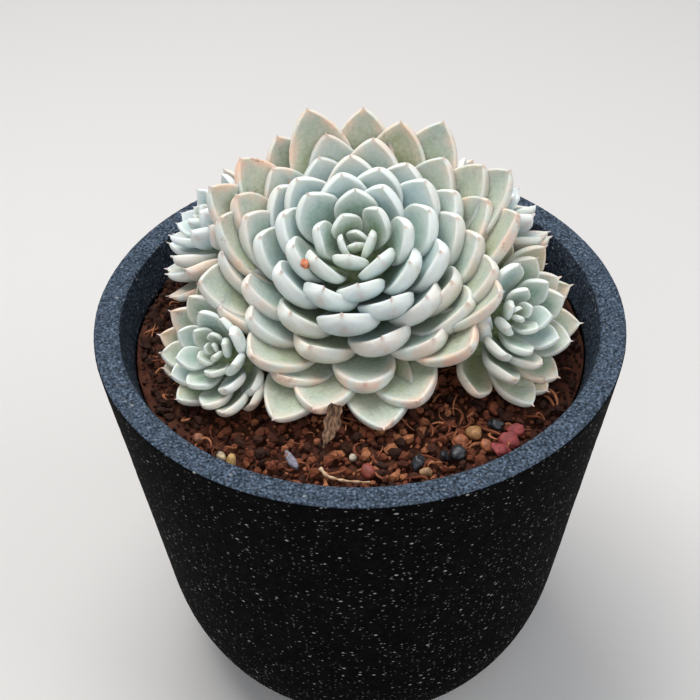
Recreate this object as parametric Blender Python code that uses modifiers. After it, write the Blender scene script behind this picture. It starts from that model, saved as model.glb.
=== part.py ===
"""Potted Mexican snowball: a clump of five succulent rosettes in a round tapered planter.

Units are metres and +Z is up. The centre of the pot's foot is the origin, and -Y is the front,
the side towards which the large rosette leans. Every rosette is one solid: a core on a short
stem, with its leaves set round it by the golden angle and joined to it.
"""
import math

import bmesh
import bpy
import numpy as np
from mathutils import Matrix, Vector, noise
from mathutils.bvhtree import BVHTree

# The pot, a turned bowl with a flat rim, a tapered wall and a rounded foot
POT_HEIGHT = 0.130
RIM_RADIUS = 0.075
RIM_WIDTH = 0.0073
RIM_ROUNDING = 0.0009
WALL_TAPER = 0.135
TAPER_DEPTH = 0.089
FOOT_RADIUS = 0.0425
FOOT_RING_WIDTH = 0.0085
FOOT_RECESS = 0.0015
FLOOR_THICKNESS = 0.006
INNER_FLOOR_RADIUS = 0.044
WALL_CURVE = 1.6
FOOT_BEND = 0.72
MERGE_DISTANCE = 0.00005
POT_SEGMENTS = 44
WALL_LEVELS = 3

# The soil, a granular fill that ends below the rim
SOIL_DEPTH = 0.009
SOIL_RADIUS = 0.0645
SOIL_GAP = 0.0003
SOIL_RELIEF = 0.0011
SOIL_MOUND = 0.0012
SOIL_GRAIN = 0.0037
GRAIN_GAIN = 1.8
GRAIN_LAYER = 0.37
SOIL_SEGMENTS = 44
SOIL_INNER_RING = 0.030
SOIL_RING_STEP = 0.0068
SOIL_MIDDLE_SHARES = (0.35, 0.7)
STEM_GAP = 0.0003
STEM_SUNK = 0.008
HOLE_DEPTH = 0.020

# The leaves
FIRST_SEED = 11
GOLDEN_ANGLE = math.pi * (3 - math.sqrt(5))
MIDRIB_STEPS = 40
WIDEST_AT = 0.68
THICKEST_AT = 0.66
BASE_WIDTH = 0.34
BASE_FULLNESS = 0.32
LEAF_DISH = 0.055
LEAF_CLEARANCE = 0.0004
SOIL_CLEARANCE = 0.0007
WALL_CLEARANCE = 0.0008
PLANT_REACH = 0.0735
CORE_TOP = 0.0011
CORE_RINGS = 5
CORE_SEGMENTS = 14
STEM_SEGMENTS = 16
YOUNG_AGE = 0.40
# The bends, in degrees, that a leaf tries in turn to be clear of its neighbours
BENDS = (0, -4, 4, -8, 8, -12, 12, -16, -20, -24, -28, -32, -36, -42, -48)
# How a leaf's outline flares from its base and closes at its tip, and the same for its thickness
BASE_FLARE = 1.5
TIP_FLARE = 1.95
TIP_POINT = 0.70
BASE_SWELL = 1.6
TIP_SWELL = 2.4
TIP_BLUNTNESS = 0.55
CURL_CURVE = 1.25
# The back of the frame's leaves: half width of its flat and its depth, as shares of the leaf's own
DISHED_BACK = 0.55
PLAIN_BACK = 0.5
DISHED_DEPTH = 0.80
PLAIN_DEPTH = 0.85
TIP_SINK = 0.12
# The core that the leaves grow from: its rounded top, its swelling and its lower end
CROWN_SHOULDER = 0.2
CORE_SPACING = 1.7
CORE_YOUNG_SWELL = 0.3
CORE_SWELL_RATE = 1.6
CORE_BASE = ((0.72, 0.40), (0.0, 0.55))
# Each leaf differs a little by chance: degrees for its angles, a share for its sizes
ANGLE_SWAY = 2.0
ROLL_SWAY = 3.0
SIZE_SWAY = 0.03
# The share of a leaf's curl that its base leans out by, so its chord keeps the lean in the table
CURL_LEAN = 0.44
# On some sides the leaves past this age bend further out, and those lose part of their curl
SKIRT_AGE = 0.35
SKIRT_FLATTENING = 0.9

RIM_INNER_RADIUS = RIM_RADIUS - RIM_WIDTH
SOIL_TOP = POT_HEIGHT - SOIL_DEPTH
INNER_FLOOR = FOOT_RECESS + FLOOR_THICKNESS

LEAF_COLOUR = (0.47, 0.60, 0.52)
YOUNG_LEAF_COLOUR = (0.44, 0.58, 0.47)
BLUE_LEAF_COLOUR = (0.50, 0.61, 0.63)
SOIL_COLOUR = (0.15, 0.058, 0.033)
POT_COLOUR = (0.020, 0.021, 0.024)


def table(ages, values):
    """Pairs of a leaf's age, from 0 in the bud to 1 at the oldest leaf, and a value."""
    return list(zip(ages, values))


def at_age(age, pairs):
    """Read a table at an age, on straight lines between its pairs."""
    ages, values = zip(*pairs)
    return float(np.interp(age, ages, values))


# The large rosette. Lengths are metres, angles are degrees from its axis.
MAIN_AGES = (0, 0.067, 0.147, 0.267, 0.427, 0.64, 0.827, 1)
MAIN = {
    "name": "rosette_main",
    "leaves": 76,
    "bud": (-0.001, -0.0022, POT_HEIGHT + 0.027),
    "axis": (-0.070, -0.388, 1.0),
    "start": 5.02,
    "wobble": 1.0,
    "size": 1.0,
    "stem": 0.0095,
    "core_swell": 0.0090,
    "dished": True,
    "most_bend": 48,
    "shares": (1.0, 0.88, 0.76),
    "shortens_first": False,
    "pointed": 1.0,
    "rings": (0, 0.40, 0.70, 0.88),
    "young_rings": (0, 0.50, 0.82),
    "length": table(MAIN_AGES, (0.0062, 0.0142, 0.0206, 0.0252, 0.0293, 0.0358, 0.0425, 0.0480)),
    "width": table(MAIN_AGES, (0.0056, 0.0104, 0.0134, 0.0157, 0.0170, 0.0180, 0.0188, 0.0192)),
    "thickness": table(MAIN_AGES, (0.0016, 0.0032, 0.0044, 0.0056, 0.0062, 0.0062, 0.006, 0.0055)),
    "lean": table(MAIN_AGES, (5, 20, 27, 34, 43.5, 52, 57, 62)),
    "curl": table(MAIN_AGES, (6, 16, 26, 37, 44, 44, 34, 20)),
    "seat_depth": table(MAIN_AGES, (0.0065, 0.0085, 0.012, 0.017, 0.0225, 0.0252, 0.0264, 0.027)),
    "seat_radius": table(MAIN_AGES, (0.0004, 0.0025, 0.0045, 0.0062, 0.0076, 0.0085, 0.009, 0.009)),
    "skirt": ((-1.57, 0.60, 44.0), (1.57, 1.3, -14.0), (3.14, 0.7, -10.0), (0.0, 0.7, -13.0)),
    "colour": LEAF_COLOUR,
}

# The four offsets round it share one set of tables, each at its own size
PUP_AGES = (0, 0.1, 0.25, 0.5, 0.75, 1)
PUP_TABLES = {
    "wobble": 1.3,
    "stem": 0.0050,
    "core_swell": 0.0044,
    "dished": False,
    "most_bend": 20,
    "shares": (1.0, 0.88, 0.76, 0.64),
    "shortens_first": True,
    "pointed": 1.15,
    "rings": (0, 0.45, 0.80),
    "young_rings": (0, 0.45, 0.80),
    "length": table(PUP_AGES, (0.004, 0.009, 0.0142, 0.0185, 0.0212, 0.0218)),
    "width": table(PUP_AGES, (0.003, 0.0055, 0.0079, 0.0098, 0.0106, 0.0108)),
    "thickness": table(PUP_AGES, (0.0012, 0.0019, 0.0027, 0.0034, 0.0036, 0.0034)),
    "lean": table(PUP_AGES, (5, 17, 29, 42, 53, 61)),
    "curl": table(PUP_AGES, (4, 10, 14, 17, 17, 14)),
    "seat_depth": table(PUP_AGES, (0.0038, 0.0070, 0.0102, 0.0140, 0.0170, 0.0190)),
    "seat_radius": table(PUP_AGES, (0.0003, 0.0016, 0.0030, 0.0042, 0.0050, 0.0052)),
    "skirt": (),
}
POINTED = table((0, 0.15, 0.35, 1), (1.35, 1.2, 1.0, 0.95))


def pup(name, leaves, bud, axis, size, start, colour):
    """One offset: its bud is given in metres from the rim's centre."""
    head = dict(PUP_TABLES)
    head.update(name=name, leaves=leaves, axis=axis, size=size, start=start, colour=colour)
    head["bud"] = (bud[0], bud[1], bud[2] + POT_HEIGHT)
    return head


HEADS = (
    MAIN,
    pup("rosette_front_left", 40, (-0.0400, -0.0245, 0.0080), (-0.45, -0.52, 0.72), 0.94, 0.5,
        YOUNG_LEAF_COLOUR),
    pup("rosette_right", 40, (0.0436, -0.0182, 0.0140), (0.50, -0.50, 0.68), 1.06, 2.0,
        YOUNG_LEAF_COLOUR),
    pup("rosette_back_left", 36, (-0.0455, 0.0190, 0.0210), (-0.70, 0.10, 0.62), 1.00, 1.0,
        BLUE_LEAF_COLOUR),
    pup("rosette_back_right", 34, (0.0420, 0.0290, 0.0205), (0.60, 0.25, 0.72), 1.00, 3.0,
        BLUE_LEAF_COLOUR),
)


def clear_scene():
    """Remove every object that the file holds."""
    for thing in list(bpy.data.objects):
        bpy.data.objects.remove(thing, do_unlink=True)


def new_collection(name):
    """Add a collection to the scene."""
    group = bpy.data.collections.new(name)
    bpy.context.scene.collection.children.link(group)
    return group


def new_material(name, colour, roughness):
    """A plain Principled material."""
    material = bpy.data.materials.new(name)
    material.use_nodes = True
    shader = material.node_tree.nodes["Principled BSDF"]
    shader.inputs["Base Color"].default_value = (*colour, 1.0)
    shader.inputs["Roughness"].default_value = roughness
    shader.inputs["Metallic"].default_value = 0.0
    return material


def new_object(name, mesh, group):
    """Wrap a mesh in an object and put it in a collection."""
    thing = bpy.data.objects.new(name, mesh)
    group.objects.link(thing)
    return thing


def mesh_from(name, corners, faces):
    """Make a mesh whose faces all point out."""
    mesh = bpy.data.meshes.new(name)
    mesh.from_pydata([tuple(corner) for corner in corners], [], faces)
    shape = bmesh.new()
    shape.from_mesh(mesh)
    bmesh.ops.recalc_face_normals(shape, faces=shape.faces)
    shape.to_mesh(mesh)
    shape.free()
    return mesh


def bake(thing):
    """Replace an object's mesh by its evaluated one, with its modifiers gone."""
    graph = bpy.context.evaluated_depsgraph_get()
    mesh = bpy.data.meshes.new_from_object(thing.evaluated_get(graph))
    thing.modifiers.clear()
    thing.data = mesh


def turned(name, profile, segments, group):
    """Turn a profile in the XZ plane round the Z axis."""
    mesh = bpy.data.meshes.new(name)
    points = [(radius, 0.0, height) for radius, height in profile]
    mesh.from_pydata(points, [(k, k + 1) for k in range(len(points) - 1)], [])
    thing = new_object(name, mesh, group)
    screw = thing.modifiers.new("turn", "SCREW")
    screw.axis = "Z"
    screw.angle = math.tau
    screw.steps = segments
    screw.render_steps = segments
    screw.use_merge_vertices = True
    screw.merge_threshold = MERGE_DISTANCE
    screw.use_smooth_shade = False
    return thing


def arc(centre, radius, start, end, steps):
    """Points along an arc, with its angles in degrees."""
    angles = [math.radians(start + (end - start) * k / steps) for k in range(steps + 1)]
    return [(centre[0] + radius * math.cos(a), centre[1] + radius * math.sin(a)) for a in angles]


def wall_radius(height):
    """The inner radius of the pot at a height between its floor and its rim."""
    soil_slope = (RIM_INNER_RADIUS - SOIL_RADIUS) / SOIL_DEPTH
    if height >= SOIL_TOP:
        return SOIL_RADIUS + soil_slope * (height - SOIL_TOP)
    share = (SOIL_TOP - height) / (SOIL_TOP - INNER_FLOOR)
    return SOIL_RADIUS - (SOIL_RADIUS - INNER_FLOOR_RADIUS) * share ** WALL_CURVE


def wall_heights():
    """Heights down the inner wall, from the soil's edge to the inner floor."""
    return [SOIL_TOP - (SOIL_TOP - INNER_FLOOR) * k / WALL_LEVELS for k in range(WALL_LEVELS + 1)]


def foot_curve(steps):
    """The outer side below the straight taper: a curve that turns in to the foot."""
    top = Vector((RIM_RADIUS - WALL_TAPER * TAPER_DEPTH, POT_HEIGHT - TAPER_DEPTH))
    foot = Vector((FOOT_RADIUS, 0.0))
    corner = Vector((top.x - WALL_TAPER * top.y * FOOT_BEND, top.y * (1 - FOOT_BEND)))
    points = []
    for k in range(1, steps + 1):
        t = k / steps
        point = top * (1 - t) ** 2 + corner * (2 * t * (1 - t)) + foot * t ** 2
        points.append((point.x, point.y))
    return points


def make_pot(group):
    """The planter, turned in one piece from its inner floor over the rim to its underside."""
    inner = [(0.0, INNER_FLOOR)]
    inner += [(wall_radius(height), height) for height in reversed(wall_heights())]
    rim = arc((RIM_INNER_RADIUS + RIM_ROUNDING, POT_HEIGHT - RIM_ROUNDING), RIM_ROUNDING, 180, 90, 2)
    rim += arc((RIM_RADIUS - RIM_ROUNDING, POT_HEIGHT - RIM_ROUNDING), RIM_ROUNDING, 90, 0, 2)
    outer = [(RIM_RADIUS - WALL_TAPER * TAPER_DEPTH, POT_HEIGHT - TAPER_DEPTH)] + foot_curve(4)
    ring_inner = FOOT_RADIUS - FOOT_RING_WIDTH
    underside = [(ring_inner, 0.0), (ring_inner - FOOT_RECESS, FOOT_RECESS), (0.0, FOOT_RECESS)]
    pot = turned("pot", inner + rim + outer + underside, POT_SEGMENTS, group)
    pot.data.materials.append(new_material("speckled black stoneware", POT_COLOUR, 0.62))
    return pot


def mound(x, y):
    """The soil's surface without its grains: slightly higher at the middle."""
    return SOIL_TOP + SOIL_MOUND * math.cos(min(math.hypot(x, y) / SOIL_RADIUS, 1.0) * math.pi)


def soil_height(x, y):
    """The soil's surface with its coarse grains."""
    grain = noise.noise(Vector((x / SOIL_GRAIN, y / SOIL_GRAIN, GRAIN_LAYER)))
    return mound(x, y) + SOIL_RELIEF * max(-1.0, min(1.0, GRAIN_GAIN * grain))


def ground(x, y):
    """The lowest height at which a plant may pass over the soil."""
    return mound(x, y) + SOIL_RELIEF + SOIL_CLEARANCE


def soil_rings():
    """The soil's rings of points from its middle out over its surface and down the wall."""
    edge = SOIL_RADIUS - 2 * SOIL_GAP
    radii = [SOIL_INNER_RING * share for share in SOIL_MIDDLE_SHARES]
    count = round((edge - SOIL_INNER_RING) / SOIL_RING_STEP)
    radii += [SOIL_INNER_RING + (edge - SOIL_INNER_RING) * k / count for k in range(count + 1)]
    rings = []
    for radius in radii:
        rings.append([])
        for k in range(SOIL_SEGMENTS):
            angle = math.tau * k / SOIL_SEGMENTS
            x, y = radius * math.cos(angle), radius * math.sin(angle)
            height = SOIL_TOP - SOIL_MOUND if radius == edge else soil_height(x, y)
            rings[-1].append((x, y, height))
    for wall_height in wall_heights()[1:]:
        radius = wall_radius(wall_height) - 2 * SOIL_GAP
        height = max(wall_height, INNER_FLOOR + SOIL_GAP)
        angles = [math.tau * k / SOIL_SEGMENTS for k in range(SOIL_SEGMENTS)]
        rings.append([(radius * math.cos(a), radius * math.sin(a), height) for a in angles])
    return rings


def make_soil(group, cutters):
    """The fill of granules, with a plain hole for each rosette's stem."""
    corners = [(0.0, 0.0, soil_height(0.0, 0.0))]
    faces = []
    for number, ring in enumerate(soil_rings()):
        first = len(corners)
        corners += ring
        for k in range(SOIL_SEGMENTS):
            a, b = first + k, first + (k + 1) % SOIL_SEGMENTS
            if number == 0:
                faces.append((0, a, b))
            else:
                faces.append((a - SOIL_SEGMENTS, a, b))
                faces.append((a - SOIL_SEGMENTS, b, b - SOIL_SEGMENTS))
    faces.append(tuple(range(len(corners) - 1, len(corners) - 1 - SOIL_SEGMENTS, -1)))
    soil = new_object("soil", mesh_from("soil", corners, faces), group)
    soil.data.materials.append(new_material("reddish brown granules", SOIL_COLOUR, 0.95))
    for head in HEADS:
        name = head["name"] + "_hole"
        bottom = SOIL_TOP - STEM_SUNK - STEM_GAP
        cutter = stem_solid(name, stem_spot(head), head["stem"] + STEM_GAP, bottom, HOLE_DEPTH, cutters)
        cutter.hide_render = True
        cutter.display_type = "WIRE"
        cut = soil.modifiers.new(cutter.name, "BOOLEAN")
        cut.operation = "DIFFERENCE"
        cut.object = cutter
    return soil


def stem_solid(name, spot, radius, bottom, height, group):
    """An upright cylinder that stands on the given height."""
    shape = bmesh.new()
    place = Matrix.Translation((spot[0], spot[1], bottom + height / 2))
    bmesh.ops.create_cone(shape, cap_ends=True, segments=STEM_SEGMENTS, radius1=radius, radius2=radius,
                          depth=height, matrix=place)
    mesh = bpy.data.meshes.new(name)
    shape.to_mesh(mesh)
    shape.free()
    return new_object(name, mesh, group)


def head_frame(head):
    """Two directions across a rosette and the direction of its axis."""
    axis = Vector(head["axis"]).normalized()
    first = (Vector((1.0, 0.0, 0.0)) - axis * axis.x).normalized()
    return first, axis.cross(first), axis


def outline(share, pointed):
    """Half width of a leaf, as a share of its greatest, at a share of its length."""
    if share <= WIDEST_AT:
        return BASE_WIDTH + (1 - BASE_WIDTH) * math.sin(share / WIDEST_AT * math.pi / 2) ** BASE_FLARE
    t = (share - WIDEST_AT) / (1 - WIDEST_AT)
    return max(0.0, 1 - t ** TIP_FLARE) ** (TIP_POINT * pointed)


def fullness(share):
    """Thickness of a leaf, as a share of its greatest, at a share of its length."""
    if share <= THICKEST_AT:
        rise = math.sin(share / THICKEST_AT * math.pi / 2) ** BASE_SWELL
        return BASE_FULLNESS + (1 - BASE_FULLNESS) * rise
    t = (share - THICKEST_AT) / (1 - THICKEST_AT)
    return max(0.0, 1 - t ** TIP_SWELL) ** TIP_BLUNTNESS


def leaf_shape(leaf, rings, grow=0.0):
    """Corners and faces of one spoon-shaped leaf, flat to hollow above and rounded below."""
    seat, out, across, axis = leaf["seat"], leaf["out"], leaf["across"], leaf["axis"]
    length, width, thickness = leaf["length"], leaf["width"], leaf["thickness"]
    rib = [Vector((0.0, 0.0))]
    for k in range(MIDRIB_STEPS):
        angle = leaf["lean"] - leaf["curl"] * ((k + 0.5) / MIDRIB_STEPS) ** CURL_CURVE
        step = (length + grow) / MIDRIB_STEPS
        rib.append(rib[-1] + Vector((math.sin(angle), math.cos(angle))) * step)

    def place(share, sideways, inward):
        """A point beside the midrib, in the part's frame."""
        angle = leaf["lean"] - leaf["curl"] * share ** CURL_CURVE
        k = min(int(share * MIDRIB_STEPS), MIDRIB_STEPS - 1)
        on_rib = rib[k].lerp(rib[k + 1], share * MIDRIB_STEPS - k)
        x = sideways * math.cos(leaf["roll"]) - inward * math.sin(leaf["roll"])
        y = sideways * math.sin(leaf["roll"]) + inward * math.cos(leaf["roll"])
        flat = on_rib + Vector((-math.cos(angle), math.sin(angle))) * y
        return seat + out * flat.x + axis * flat.y + across * x

    corners = []
    for share in rings:
        half = width / 2 * outline(share, leaf["pointed"]) + grow
        deep = thickness * fullness(share) + grow
        dish = LEAF_DISH * half * 2
        back = deep * (DISHED_DEPTH if leaf["dished"] else PLAIN_DEPTH)
        if leaf["dished"]:
            section = [(-1, 0), (0, -dish), (1, 0), (DISHED_BACK, -back), (-DISHED_BACK, -back)]
        else:
            section = [(-1, 0), (1, 0), (PLAIN_BACK, -back), (-PLAIN_BACK, -back)]
        corners += [place(share, x * half, y + grow) for x, y in section]
    sides = len(corners) // len(rings)
    corners.append(place(1.0, 0.0, -TIP_SINK * thickness))
    faces = [tuple(reversed(range(sides)))]
    for ring in range(len(rings) - 1):
        for k in range(sides):
            a, b = ring * sides + k, ring * sides + (k + 1) % sides
            faces.append((a, b, b + sides))
            faces.append((a, b + sides, a + sides))
    last = (len(rings) - 1) * sides
    for k in range(sides):
        faces.append((last + k, last + (k + 1) % sides, len(corners) - 1))
    return corners, faces


def grown_leaves(head, seed):
    """Every leaf of a rosette, from the bud out, before any is bent clear of its neighbours."""
    draw = np.random.default_rng(seed)
    first, second, axis = head_frame(head)
    size = head["size"]
    leaves = []
    for k in range(head["leaves"]):
        age = k / (head["leaves"] - 1)
        chance = draw.normal(size=6) * head["wobble"]
        turn = head["start"] + GOLDEN_ANGLE * k + math.radians(ANGLE_SWAY) * chance[0]
        out = first * math.cos(turn) + second * math.sin(turn)
        curl = at_age(age, head["curl"])
        lean = at_age(age, head["lean"]) + CURL_LEAN * curl + ANGLE_SWAY * chance[3]
        for direction, spread, extra in head["skirt"]:
            off = (math.atan2(out.y, out.x) - direction + math.pi) % math.tau - math.pi
            bend = extra * math.exp(-(off / spread) ** 2)
            bend *= max(0.0, (age - SKIRT_AGE) / (1 - SKIRT_AGE)) ** 2
            lean += bend
            curl -= SKIRT_FLATTENING * max(0.0, bend)
        seat = Vector(head["bud"]) - axis * at_age(age, head["seat_depth"]) * size
        leaves.append({
            "age": age,
            "seat": seat + out * at_age(age, head["seat_radius"]) * size,
            "out": out,
            "across": axis.cross(out),
            "axis": axis,
            "length": at_age(age, head["length"]) * size * (1 + SIZE_SWAY * chance[1]),
            "width": at_age(age, head["width"]) * size * (1 + SIZE_SWAY * chance[2]),
            "thickness": at_age(age, head["thickness"]) * size,
            "lean": math.radians(lean),
            "curl": math.radians(curl + ANGLE_SWAY * chance[4]),
            "roll": math.radians(ROLL_SWAY * chance[5]),
            "pointed": at_age(age, POINTED) * head["pointed"],
            "dished": head["dished"],
            "rings": head["young_rings"] if age < YOUNG_AGE else head["rings"],
        })
    return leaves


def inside_pot(corners):
    """Whether a leaf stays over the soil, within the wall and within the rim's outline."""
    for corner in corners:
        reach = math.hypot(corner.x, corner.y)
        if reach > PLANT_REACH or corner.z < ground(corner.x, corner.y):
            return False
        if corner.z < POT_HEIGHT + WALL_CLEARANCE and reach > wall_radius(corner.z) - WALL_CLEARANCE:
            return False
    return True


def settle(head, seed, neighbours):
    """Bend or shorten each leaf until it is clear of all round it, and drop one that never is."""
    kept = []
    bends = [math.radians(bend) for bend in BENDS if abs(bend) <= head["most_bend"]]
    trials = [(share, bend) for share in head["shares"] for bend in bends]
    if head["shortens_first"]:
        trials = [(share, bend) for bend in bends for share in head["shares"]]
    for leaf in grown_leaves(head, seed):
        for share, bend in trials:
            trial = dict(leaf, lean=leaf["lean"] + bend, length=leaf["length"] * share,
                         width=leaf["width"] * (1 + share) / 2)
            corners, faces = leaf_shape(trial, trial["rings"], LEAF_CLEARANCE)
            if not inside_pot(corners[len(corners) // len(trial["rings"]):]):
                continue
            tree = BVHTree.FromPolygons(corners, faces)
            if not any(tree.overlap(other) for other in neighbours):
                kept.append(trial)
                break
    return kept


def core_profile(head):
    """The core's outline round the leaf seats, from its top to below the oldest leaf."""
    size = head["size"]
    top = -at_age(0, head["seat_depth"]) * size
    low = -at_age(1, head["seat_depth"]) * size
    swell = head["core_swell"] * size
    widest = at_age(1, head["seat_radius"]) * size + swell
    crown = CORE_TOP * size
    points = [(0.0, top + crown), (crown, top + crown * CROWN_SHOULDER)]
    for k in range(1, CORE_RINGS + 1):
        age = (k / CORE_RINGS) ** CORE_SPACING
        filled = min(1.0, CORE_YOUNG_SWELL + age * CORE_SWELL_RATE)
        radius = at_age(age, head["seat_radius"]) * size + swell * filled
        points.append((radius, -at_age(age, head["seat_depth"]) * size - CORE_TOP))
    points += [(widest * radius, low - widest * depth) for radius, depth in CORE_BASE]
    return points


def stem_spot(head):
    """Where a rosette's stem stands: under the lower end of its core."""
    axis = head_frame(head)[2]
    return Vector(head["bud"]) - axis * at_age(1, head["seat_depth"]) * head["size"]


def core_and_stem(head, group):
    """The solid that a rosette's leaves grow from, with the stem that stands in the soil."""
    core = turned(head["name"], core_profile(head), CORE_SEGMENTS, group)
    bake(core)
    first, second, axis = head_frame(head)
    turn = Matrix((first, second, axis)).transposed().to_4x4()
    core.data.transform(Matrix.Translation(head["bud"]) @ turn)
    for vertex in core.data.vertices:
        vertex.co.z = max(vertex.co.z, ground(vertex.co.x, vertex.co.y))
    spot = stem_spot(head)
    bottom = SOIL_TOP - STEM_SUNK
    stem = stem_solid(head["name"] + "_stem", spot, head["stem"], bottom, spot.z - bottom, group)
    return core, stem


def tree_of(things):
    """One search tree over the faces of several meshes."""
    corners, faces = [], []
    for mesh_corners, mesh_faces in things:
        offset = len(corners)
        corners += mesh_corners
        faces += [tuple(corner + offset for corner in face) for face in mesh_faces]
    return BVHTree.FromPolygons(corners, faces)


def mesh_lists(mesh):
    """A mesh as corners and faces."""
    corners = [vertex.co.copy() for vertex in mesh.vertices]
    return corners, [tuple(face.vertices) for face in mesh.polygons]


def keep_largest_body(mesh):
    """Drop loose scraps and fill sealed hollows: only the body with the most corners stays."""
    shape = bmesh.new()
    shape.from_mesh(mesh)
    bodies = []
    waiting = set(shape.verts)
    while waiting:
        edge_of_body = [waiting.pop()]
        body = list(edge_of_body)
        while edge_of_body:
            corner = edge_of_body.pop()
            for edge in corner.link_edges:
                other = edge.other_vert(corner)
                if other in waiting:
                    waiting.remove(other)
                    edge_of_body.append(other)
                    body.append(other)
        bodies.append(body)
    bodies.sort(key=len)
    for body in bodies[:-1]:
        bmesh.ops.delete(shape, geom=body, context="VERTS")
    shape.to_mesh(mesh)
    shape.free()


def join(core, group):
    """Unite an object with everything in a collection, which is then removed."""
    union = core.modifiers.new("leaves", "BOOLEAN")
    union.operation = "UNION"
    union.operand_type = "COLLECTION"
    union.collection = group
    union.solver = "MANIFOLD"
    bpy.context.view_layer.update()
    bake(core)
    keep_largest_body(core.data)
    for thing in list(group.objects):
        bpy.data.objects.remove(thing, do_unlink=True)
    bpy.data.collections.remove(group)


def make_rosette(head, leaves, core, stem, group):
    """Build the leaves and join them, the core and the stem in one solid."""
    loose = new_collection(head["name"] + "_leaves")
    group.objects.unlink(stem)
    loose.objects.link(stem)
    for number, leaf in enumerate(leaves):
        corners, faces = leaf_shape(leaf, leaf["rings"])
        name = head["name"] + "_leaf_" + str(number)
        new_object(name, mesh_from(name, corners, faces), loose)
    join(core, loose)
    core.data.materials.clear()
    core.data.materials.append(new_material(head["name"] + " leaf", head["colour"], 0.6))
    core.data.shade_smooth()
    core.data.set_sharp_from_angle(angle=math.radians(40))


def make_plant(group, planter):
    """All five rosettes, the large one first, so that the small ones bend clear of it."""
    graph = bpy.context.evaluated_depsgraph_get()
    around = [tree_of([mesh_lists(thing.evaluated_get(graph).data)]) for thing in planter]
    solids = {head["name"]: core_and_stem(head, group) for head in HEADS}
    stumps = {}
    for name, pieces in solids.items():
        stumps[name] = tree_of([mesh_lists(piece.data) for piece in pieces])
    leaves_of = {}
    for number, head in enumerate(HEADS):
        others = [tree for name, tree in stumps.items() if name != head["name"]]
        leaves = settle(head, FIRST_SEED + number, others + around)
        leaves_of[head["name"]] = leaves
        around.append(tree_of([leaf_shape(leaf, leaf["rings"]) for leaf in leaves]))
    for head in HEADS:
        core, stem = solids[head["name"]]
        make_rosette(head, leaves_of[head["name"]], core, stem, group)


clear_scene()
OBJECT = new_collection("potted_mexican_snowball")
POT = make_pot(OBJECT)
SOIL = make_soil(OBJECT, new_collection("cutters"))
make_plant(OBJECT, (POT, SOIL))
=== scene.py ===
"""Potted Mexican snowball: the looks of the rosettes, the speckled planter and its granular soil.

The file is laid out as an add-on. Each operator builds one piece, or one group of like pieces,
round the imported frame. The leaves follow the same rules as the frame's solids, so every fine leaf
stands where its plain one does. Lengths are metres unless a name says otherwise.
"""
import functools
import math

import bmesh
import bpy
import numpy as np
from bpy.props import FloatProperty, FloatVectorProperty, IntProperty, PointerProperty
from mathutils import Matrix, Vector, noise
from mathutils.bvhtree import BVHTree


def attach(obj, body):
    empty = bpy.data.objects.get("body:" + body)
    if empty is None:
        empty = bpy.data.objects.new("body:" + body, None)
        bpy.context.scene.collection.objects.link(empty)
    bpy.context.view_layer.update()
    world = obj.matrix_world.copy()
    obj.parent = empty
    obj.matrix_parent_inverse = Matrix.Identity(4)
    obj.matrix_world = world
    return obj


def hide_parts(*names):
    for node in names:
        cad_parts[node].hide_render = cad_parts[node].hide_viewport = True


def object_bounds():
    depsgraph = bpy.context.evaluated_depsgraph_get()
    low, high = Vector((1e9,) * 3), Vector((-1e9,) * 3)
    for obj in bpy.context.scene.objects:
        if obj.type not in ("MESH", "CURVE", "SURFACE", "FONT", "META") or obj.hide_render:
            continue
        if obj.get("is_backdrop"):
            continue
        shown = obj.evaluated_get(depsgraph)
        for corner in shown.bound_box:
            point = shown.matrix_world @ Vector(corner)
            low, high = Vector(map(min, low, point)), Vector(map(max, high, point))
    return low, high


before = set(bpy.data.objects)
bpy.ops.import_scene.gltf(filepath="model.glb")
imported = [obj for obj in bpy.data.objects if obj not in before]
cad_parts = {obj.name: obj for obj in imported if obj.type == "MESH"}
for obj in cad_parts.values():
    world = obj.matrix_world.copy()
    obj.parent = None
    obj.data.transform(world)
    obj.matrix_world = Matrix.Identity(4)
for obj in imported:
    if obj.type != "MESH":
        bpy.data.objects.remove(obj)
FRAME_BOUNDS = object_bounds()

bl_info = {
    "name": "Potted Mexican Snowball",
    "version": (1, 0, 0),
    "blender": (4, 5, 0),
    "location": "View3D > Sidebar > Snowball",
    "description": "A clump of five succulent rosettes in a round speckled planter",
    "category": "Object",
}

# The planter and its soil, as in the frame
POT_HEIGHT = 0.130
RIM_RADIUS = 0.075
RIM_WIDTH = 0.0073
RIM_ROUNDING = 0.0009
WALL_TAPER = 0.135
TAPER_DEPTH = 0.089
FOOT_RADIUS = 0.0425
FOOT_RING_WIDTH = 0.0085
FOOT_RECESS = 0.0015
FLOOR_THICKNESS = 0.006
INNER_FLOOR_RADIUS = 0.044
WALL_CURVE = 1.6
FOOT_BEND = 0.72
SOIL_DEPTH = 0.009
SOIL_RADIUS = 0.0645
SOIL_RELIEF = 0.0011
SOIL_MOUND = 0.0012
SOIL_GRAIN = 0.0037
GRAIN_GAIN = 1.8
GRAIN_LAYER = 0.37
STEM_SUNK = 0.008
RIM_INNER_RADIUS = RIM_RADIUS - RIM_WIDTH
SOIL_TOP = POT_HEIGHT - SOIL_DEPTH
INNER_FLOOR = FOOT_RECESS + FLOOR_THICKNESS

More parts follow.
